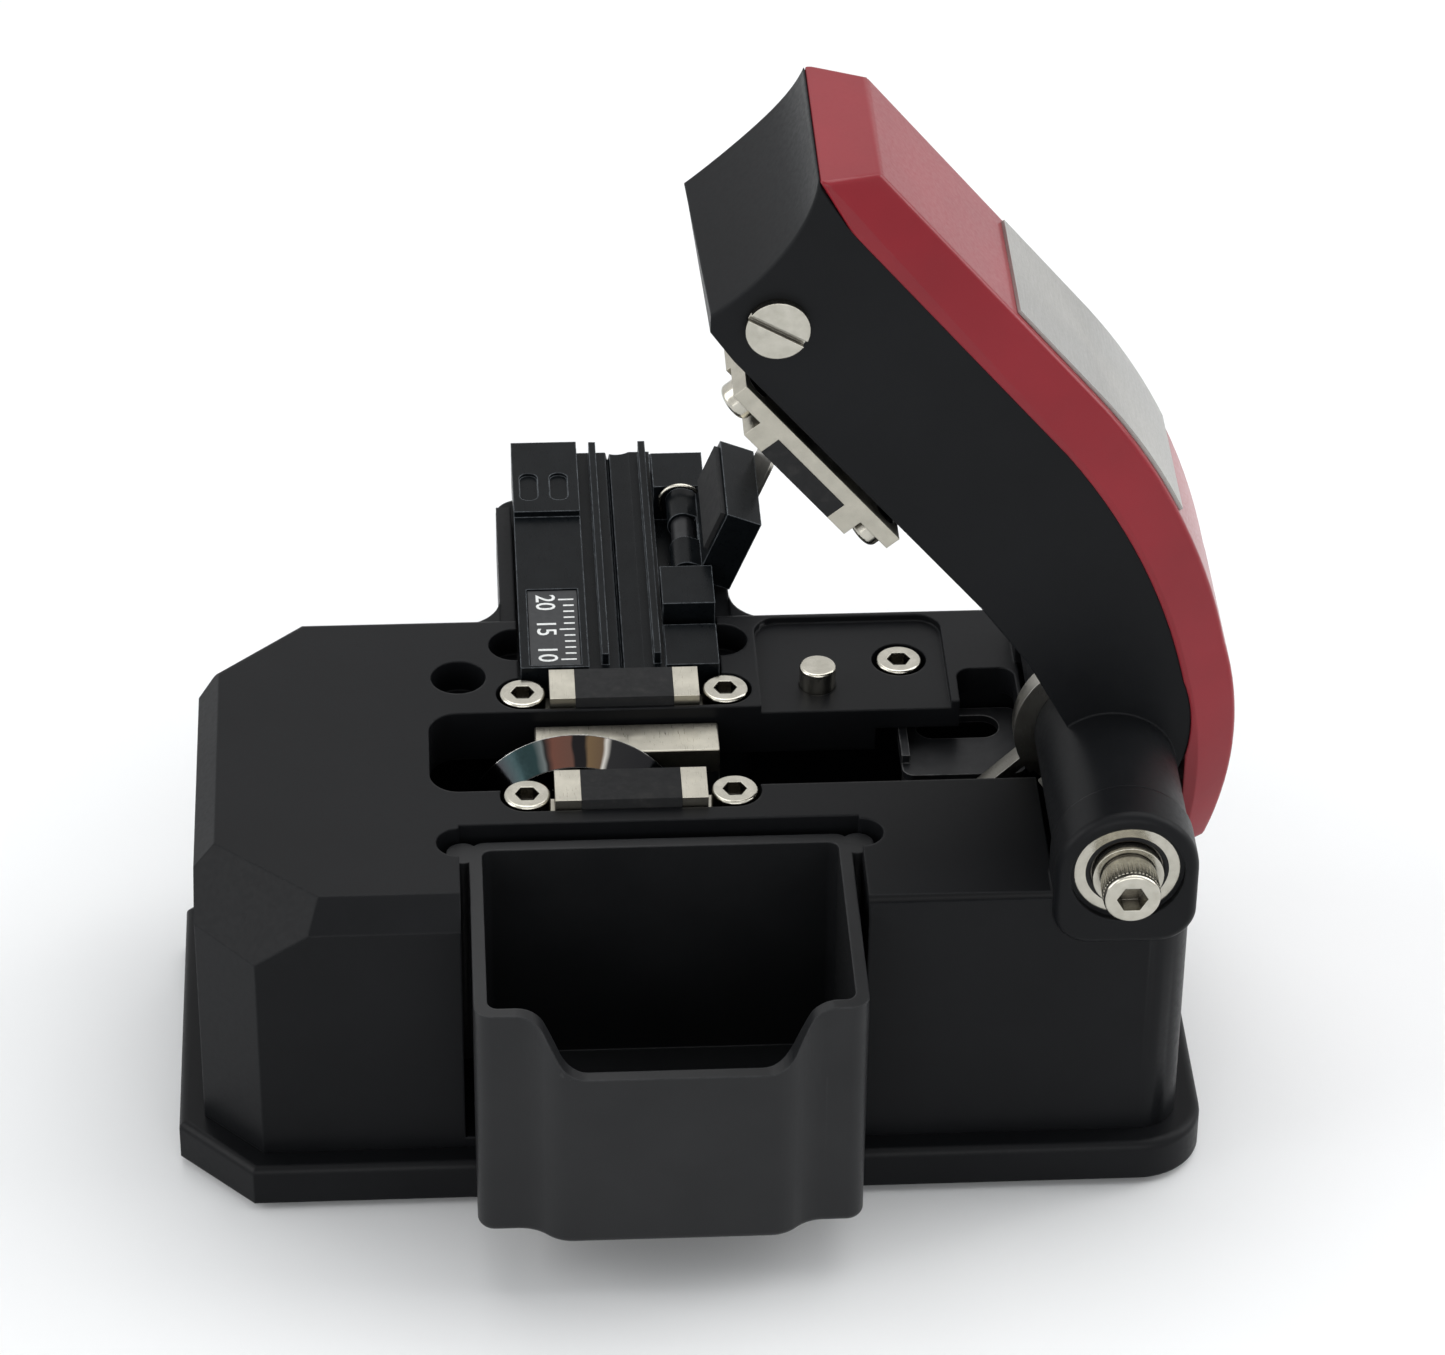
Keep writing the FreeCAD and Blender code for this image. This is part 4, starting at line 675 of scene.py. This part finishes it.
def dipped_bin():
    """The bin, with the dip in its front rim swept down in round shoulders."""
    dip_depth, dip_back, infill_back = 6.0, 4.9, 5.2
    band_low, band_high, band_middle = 2.0, 0.8, 1.4      # below the dip
    left_reach, right_reach = 9.3, 10.2                   # from the bin's middle to the dip's ends
    shoulder_run, shoulder_flat, over_rim = 2.9, 4.6, 1.0
    rounded_reach, slack = 13.2, 0.01
    scraps = worked_copy("scrap_bin", "dipped_bin")
    bin_front, bin_top = low("scrap_bin").y, high("scrap_bin").z
    centre, rim = middle("scrap_bin").x / MM, bin_top / MM

    # the old notch is closed with a slice of the front wall, drawn up to the rim
    infill = worked_copy("scrap_bin", "bin_infill")
    select_only(infill)
    bpy.ops.object.mode_set(mode="EDIT")
    for below, keep_upper in ((band_low, True), (band_high, False)):
        bpy.ops.mesh.select_all(action="SELECT")
        bpy.ops.mesh.bisect(
            plane_co=(0, 0, (rim - dip_depth - below) * MM), plane_no=(0, 0, 1),
            use_fill=True, clear_inner=keep_upper, clear_outer=not keep_upper,
        )
    bpy.ops.mesh.select_all(action="SELECT")
    bpy.ops.mesh.bisect(
        plane_co=(0, bin_front + infill_back * MM, 0), plane_no=(0, 1, 0),
        use_fill=True, clear_outer=True,
    )
    bpy.ops.object.mode_set(mode="OBJECT")
    for vertex in infill.data.vertices:
        if vertex.co.z > (rim - dip_depth - band_middle) * MM:
            vertex.co.z = bin_top
    join_solids(scraps, infill, "UNION")

    left, right, top = centre - left_reach, centre + right_reach, rim + over_rim
    corners = [
        (left - shoulder_flat, top), (left - shoulder_flat, rim),
        (left - shoulder_run, rim), (left, rim - dip_depth),
        (right, rim - dip_depth), (right + shoulder_run, rim),
        (right + shoulder_flat, rim), (right + shoulder_flat, top),
    ]
    dip = prism("dip", corners, bin_front - MM, bin_front + dip_back * MM)

    def shoulder_line(start, end):
        through = abs(start.y - end.y) > MM
        below_rim = min(start.z, end.z) < (rim + slack) * MM
        return through and below_rim and abs(start.x / MM - centre) < rounded_reach

    round_edges_where(dip, shoulder_line, width=1.9, steps=6, sharp=20)
    join_solids(scraps, dip, "DIFFERENCE")
    smooth(scraps)
    stand_for(scraps, "scrap_bin", "bin", moulding)


def axle_knurl():
    """Straight knurling round the head of the axle screw, between its bevelled rims."""
    ridges, groove, wall_thickness = 44, 0.1, 0.14
    reach, length, setback = 2.66, 1.9, 1.55
    head = middle("axle_screw")
    clear_selection()
    bpy.ops.mesh.primitive_cylinder_add(
        vertices=ridges * 2, radius=reach * MM, depth=length * MM, end_fill_type="NOTHING",
        location=(head.x, low("axle_screw").y + setback * MM, head.z), rotation=LAID_ALONG_Y,
    )
    knurl = bpy.context.active_object
    settle(knurl)

    def round_the_head(vertex):
        return round(vertex.co.y, 6), math.atan2(vertex.co.z - head.z, vertex.co.x - head.x)

    for vertex in sorted(knurl.data.vertices, key=round_the_head)[1::2]:
        away = Vector((vertex.co.x - head.x, 0, vertex.co.z - head.z))
        vertex.co -= away * (groove / reach)
    wall = knurl.modifiers.new("wall", "SOLIDIFY")
    wall.thickness = wall_thickness * MM
    wall.offset = -1
    bpy.ops.object.modifier_apply(modifier=wall.name)
    bpy.ops.object.mode_set(mode="EDIT")
    bpy.ops.mesh.select_all(action="SELECT")
    bpy.ops.mesh.normals_make_consistent(inside=False)
    bpy.ops.object.mode_set(mode="OBJECT")
    keep("axle_knurl", nickel, "base")


def bearing_seal():
    """Flat rubber ring in the front bearing, with rounded rims."""
    inner, outer, thickness, setback = 3.35, 3.95, 0.3, 0.12
    seal_y = low("hinge_bearings").y + setback * MM
    clear_selection()
    bpy.ops.mesh.primitive_torus_add(
        location=(hinge.x, seal_y, hinge.z), rotation=LAID_ALONG_Y,
        major_segments=72, minor_segments=12,
        major_radius=(inner + outer) / 2 * MM, minor_radius=(outer - inner) / 2 * MM,
    )
    ring = bpy.context.active_object
    settle(ring)
    for vertex in ring.data.vertices:
        vertex.co.y = seal_y + (vertex.co.y - seal_y) * thickness / (outer - inner)
    smooth(ring)
    keep("bearing_seal", rubber, "base")


def wire(name, points, radius, material, body):
    """A bent wire along points, with closed ends."""
    clear_selection()
    bpy.ops.curve.primitive_nurbs_path_add()
    bend = bpy.context.active_object
    bend.data.splines.clear()
    spline = bend.data.splines.new("NURBS")
    spline.points.add(len(points) - 1)
    for spot, point in zip(spline.points, points):
        spot.co = (*point, 1)
    spline.order_u = 3
    spline.use_endpoint_u = True
    spline.resolution_u = 6
    bend.data.bevel_depth = radius * MM
    bend.data.bevel_resolution = 3
    bend.data.use_fill_caps = True
    bpy.ops.object.convert(target="MESH")
    settle(bpy.context.active_object)
    smooth(bpy.context.active_object)
    keep(name, material, body)


def printed_number(text, height, place):
    """A printed number lying flat on the scale, its digits side by side along the scale."""
    size_over_height, thickness = 1.38, 0.015
    clear_selection()
    bpy.ops.object.text_add()
    number = bpy.context.active_object
    number.data.body = text
    number.data.align_x = "CENTER"
    number.data.align_y = "CENTER"
    number.data.size = height * size_over_height * MM
    number.data.offset = thickness * MM
    number.data.extrude = thickness * MM
    number.data.resolution_u = 3
    bpy.ops.object.convert(target="MESH")
    number = bpy.context.active_object
    number.matrix_world = Matrix.Translation(place) @ Matrix.Rotation(-math.pi / 2, 4, "Z")
    settle(number)
    return number


def scale_tick(reach, place):
    """One printed tick with rounded ends."""
    thickness, breadth = 0.03, 0.22
    clear_selection()
    bpy.ops.mesh.primitive_cube_add(size=thickness * MM, location=place)
    tick = bpy.context.active_object
    bpy.ops.object.mode_set(mode="EDIT")
    bpy.ops.mesh.select_all(action="SELECT")
    bpy.ops.transform.resize(value=(reach / thickness, breadth / thickness, 1))
    bpy.ops.object.mode_set(mode="OBJECT")
    settle(tick)

    def upright(start, end):
        return abs(start.z - end.z) > 0.01 * MM

    round_edges_where(tick, upright, width=0.05, steps=2, sharp=20)
    return tick


def scale_marks():
    """White numbers and millimetre ticks on the holder's scale plate."""
    ticks, long_every, long_reach, short_reach = 11, 5, 1.5, 1.05
    edge_gap, first_gap, print_lift = 0.35, 0.95, 0.012
    number_height, number_in, number_gap, number_step = 1.95, 1.6, 0.95, 4.3
    scale_low, scale_high = low("scale_plate"), high("scale_plate")
    top = scale_high.z + print_lift * MM
    first_tick = scale_low.y + first_gap * MM

    def tick_at(step, reach):
        middle_x = scale_high.x - (edge_gap + reach / 2) * MM
        return scale_tick(reach, Vector((middle_x, first_tick + step * MM, top)))

    long_tick, short_tick = tick_at(0, long_reach), tick_at(1, short_reach)
    pieces = [long_tick, short_tick]
    for step in range(2, ticks):
        if step % long_every == 0:
            pieces.append(copied(long_tick, (0, step * MM, 0)))
        else:
            pieces.append(copied(short_tick, (0, (step - 1) * MM, 0)))
    for count, text in enumerate(("10", "15", "20")):
        number_y = first_tick + (number_gap + number_step * count) * MM
        place = Vector((scale_low.x + number_in * MM, number_y, top))
        pieces.append(printed_number(text, number_height, place))
    clear_selection()
    for piece in pieces:
        piece.select_set(True)
    bpy.context.view_layer.objects.active = long_tick
    bpy.ops.object.join()
    keep("scale_marks", print_white, "base")


def flap_spring():
    """Bright torsion spring round the far end of the flap's barrel, with one straight leg."""
    coil_points, coil_start, coil_step = 15, 205, 24
    coil_reach, first_gap, rise, wire_radius = 2.15, 0.2, 0.05, 0.2
    leg_out, leg_in, leg_up = 3.4, 0.95, 1.1
    pin = middle("flap_pin")
    flap_end = high("holder_flap").y
    points = []
    for count in range(coil_points):
        angle = math.radians(coil_start - count * coil_step)
        round_pin = Vector((math.cos(angle), 0, math.sin(angle))) * coil_reach * MM
        coil_y = flap_end - (first_gap + count * rise) * MM
        points.append(Vector((pin.x, coil_y, pin.z)) + round_pin)
    points.append((pin.x + leg_out * MM, flap_end - leg_in * MM, pin.z + leg_up * MM))
    wire("flap_spring", points, wire_radius, nickel, "base")


def flap_barrel():
    """Dark sleeve on the flap's pin, in the gaps between the knuckles."""
    end_gap, sleeve_radius = 0.2, 1.2
    pin, flap_low, flap_high = middle("flap_pin"), low("holder_flap"), high("holder_flap")
    clear_selection()
    bpy.ops.mesh.primitive_cylinder_add(
        vertices=48, radius=sleeve_radius * MM, depth=flap_high.y - flap_low.y - 2 * end_gap * MM,
        location=(pin.x, (flap_low.y + flap_high.y) / 2, pin.z), rotation=LAID_ALONG_Y,
    )
    sleeve = bpy.context.active_object
    settle(sleeve)

    def end_rim(start, end):
        return abs(start.y - end.y) < 0.01 * MM

    round_edges_where(sleeve, end_rim, width=0.15, steps=3, sharp=40)
    smooth(sleeve)
    keep("flap_barrel", oxide, "flap")


def broad_bar():
    """The carriage's steel bar, as broad on top as the room behind the blade allows."""
    blade_gap = 0.3
    bar_low, bar_high = low("steel_bar"), high("steel_bar")
    bar_low.y = high("blade_wheel").y + blade_gap * MM
    clear_selection()
    bpy.ops.mesh.primitive_cube_add(size=MM, location=(bar_low + bar_high) / 2)
    bar = bpy.context.active_object
    bar.name = "broad_bar"
    bpy.ops.object.mode_set(mode="EDIT")
    bpy.ops.mesh.select_all(action="SELECT")
    bpy.ops.transform.resize(value=tuple((bar_high - bar_low) / MM))
    bpy.ops.object.mode_set(mode="OBJECT")
    settle(bar)
    round_edges_where(bar, lambda start, end: True, width=0.18, steps=3, sharp=40)
    smooth(bar)
    stand_for(bar, "steel_bar", "carriage", steel)


crowned_cover()
scooped_arm()
softened_housing()
dipped_bin()
axle_knurl()
bearing_seal()
scale_marks()
flap_spring()
flap_barrel()
broad_bar()


# ------------------------------------------------------------------ studio

def pale_floor():
    """Pale floor that keeps the shadow and fades to white, as the camera sees it, further out."""
    fade_start, fade_end, floor_size = 0.1, 0.32, 6
    floor_finish = bpy.data.materials.new("pale_floor")
    floor_finish.use_nodes = True
    nodes, links = floor_finish.node_tree.nodes, floor_finish.node_tree.links
    shader = nodes["Principled BSDF"]
    shader.inputs["Base Color"].default_value = (0.86, 0.86, 0.86, 1)
    shader.inputs["Roughness"].default_value = 0.9
    place = nodes.new("ShaderNodeTexCoord")
    reach = nodes.new("ShaderNodeVectorMath")
    reach.operation = "LENGTH"
    links.new(place.outputs["Object"], reach.inputs[0])
    fade = nodes.new("ShaderNodeMapRange")
    fade.interpolation_type = "SMOOTHSTEP"
    links.new(reach.outputs["Value"], fade.inputs["Value"])
    fade.inputs["From Min"].default_value = fade_start
    fade.inputs["From Max"].default_value = fade_end
    ray = nodes.new("ShaderNodeLightPath")
    only_seen = nodes.new("ShaderNodeMath")
    only_seen.operation = "MULTIPLY"
    links.new(ray.outputs["Is Camera Ray"], only_seen.inputs[0])
    links.new(fade.outputs["Result"], only_seen.inputs[1])
    white = nodes.new("ShaderNodeEmission")
    white.inputs["Color"].default_value = (1, 1, 1, 1)
    mix = nodes.new("ShaderNodeMixShader")
    links.new(only_seen.outputs[0], mix.inputs["Fac"])
    links.new(shader.outputs["BSDF"], mix.inputs[1])
    links.new(white.outputs["Emission"], mix.inputs[2])
    links.new(mix.outputs["Shader"], nodes["Material Output"].inputs["Surface"])
    bpy.ops.mesh.primitive_plane_add(size=floor_size, location=(0, 0, 0))
    floor = bpy.context.active_object
    floor.name = "floor"
    floor.data.materials.append(floor_finish)


def white_world():
    """White surroundings where they are seen or mirrored, and a soft cool light elsewhere."""
    world = bpy.data.worlds.new("studio")
    bpy.context.scene.world = world
    world.use_nodes = True
    nodes, links = world.node_tree.nodes, world.node_tree.links
    soft = nodes["Background"]
    soft.inputs["Color"].default_value = (0.93, 0.97, 1.0, 1)
    soft.inputs["Strength"].default_value = 0.45
    seen = nodes.new("ShaderNodeBackground")
    seen.inputs["Color"].default_value = (1, 1, 1, 1)
    path = nodes.new("ShaderNodeLightPath")
    bright = path.outputs["Is Camera Ray"]
    for ray in ("Is Glossy Ray", "Is Transmission Ray"):
        either = nodes.new("ShaderNodeMath")
        either.operation = "MAXIMUM"
        links.new(bright, either.inputs[0])
        links.new(path.outputs[ray], either.inputs[1])
        bright = either.outputs[0]
    choose = nodes.new("ShaderNodeMixShader")
    links.new(bright, choose.inputs["Fac"])
    links.new(soft.outputs["Background"], choose.inputs[1])
    links.new(seen.outputs["Background"], choose.inputs[2])
    links.new(choose.outputs["Shader"], nodes["World Output"].inputs["Surface"])


def lamp(name, power, size, place):
    """A soft rectangular lamp aimed at the housing."""
    data = bpy.data.lights.new(name, "AREA")
    data.shape = "RECTANGLE"
    data.size, data.size_y = size
    data.energy = power
    thing = bpy.data.objects.new(name, data)
    bpy.context.scene.collection.objects.link(thing)
    thing.location = place
    away = Vector(place) - middle("base_housing")
    thing.rotation_euler = away.to_track_quat("Z", "Y").to_euler()


def set_camera():
    """A long lens that looks down on the open cleaver from in front."""
    place = mm(-23.16, -423.47, 349.09)
    turn, down, roll = -3.619, 35.9, 0.72
    data = bpy.data.cameras.new("view")
    data.sensor_width = 36
    data.lens = 139.83
    data.clip_start = 0.01
    camera = bpy.data.objects.new("view", data)
    bpy.context.scene.collection.objects.link(camera)
    camera.matrix_world = (
        Matrix.Translation(place)
        @ Matrix.Rotation(math.radians(turn), 4, "Z")
        @ Matrix.Rotation(math.radians(90 - down), 4, "X")
        @ Matrix.Rotation(math.radians(roll), 4, "Z")
    )
    bpy.context.scene.camera = camera


pale_floor()
white_world()
lamp("overhead", power=3.8, size=(0.9, 0.6), place=(0.1, 0.25, 0.8))
lamp("right_bank", power=3.5, size=(0.5, 0.7), place=(0.75, 0.1, 0.45))
lamp("left_bank", power=3.0, size=(0.5, 0.7), place=(-0.75, -0.1, 0.4))
lamp("front_fill", power=1.9, size=(0.8, 0.4), place=(0.0, -0.8, 0.25))
set_camera()
bpy.context.scene.view_settings.view_transform = "Standard"
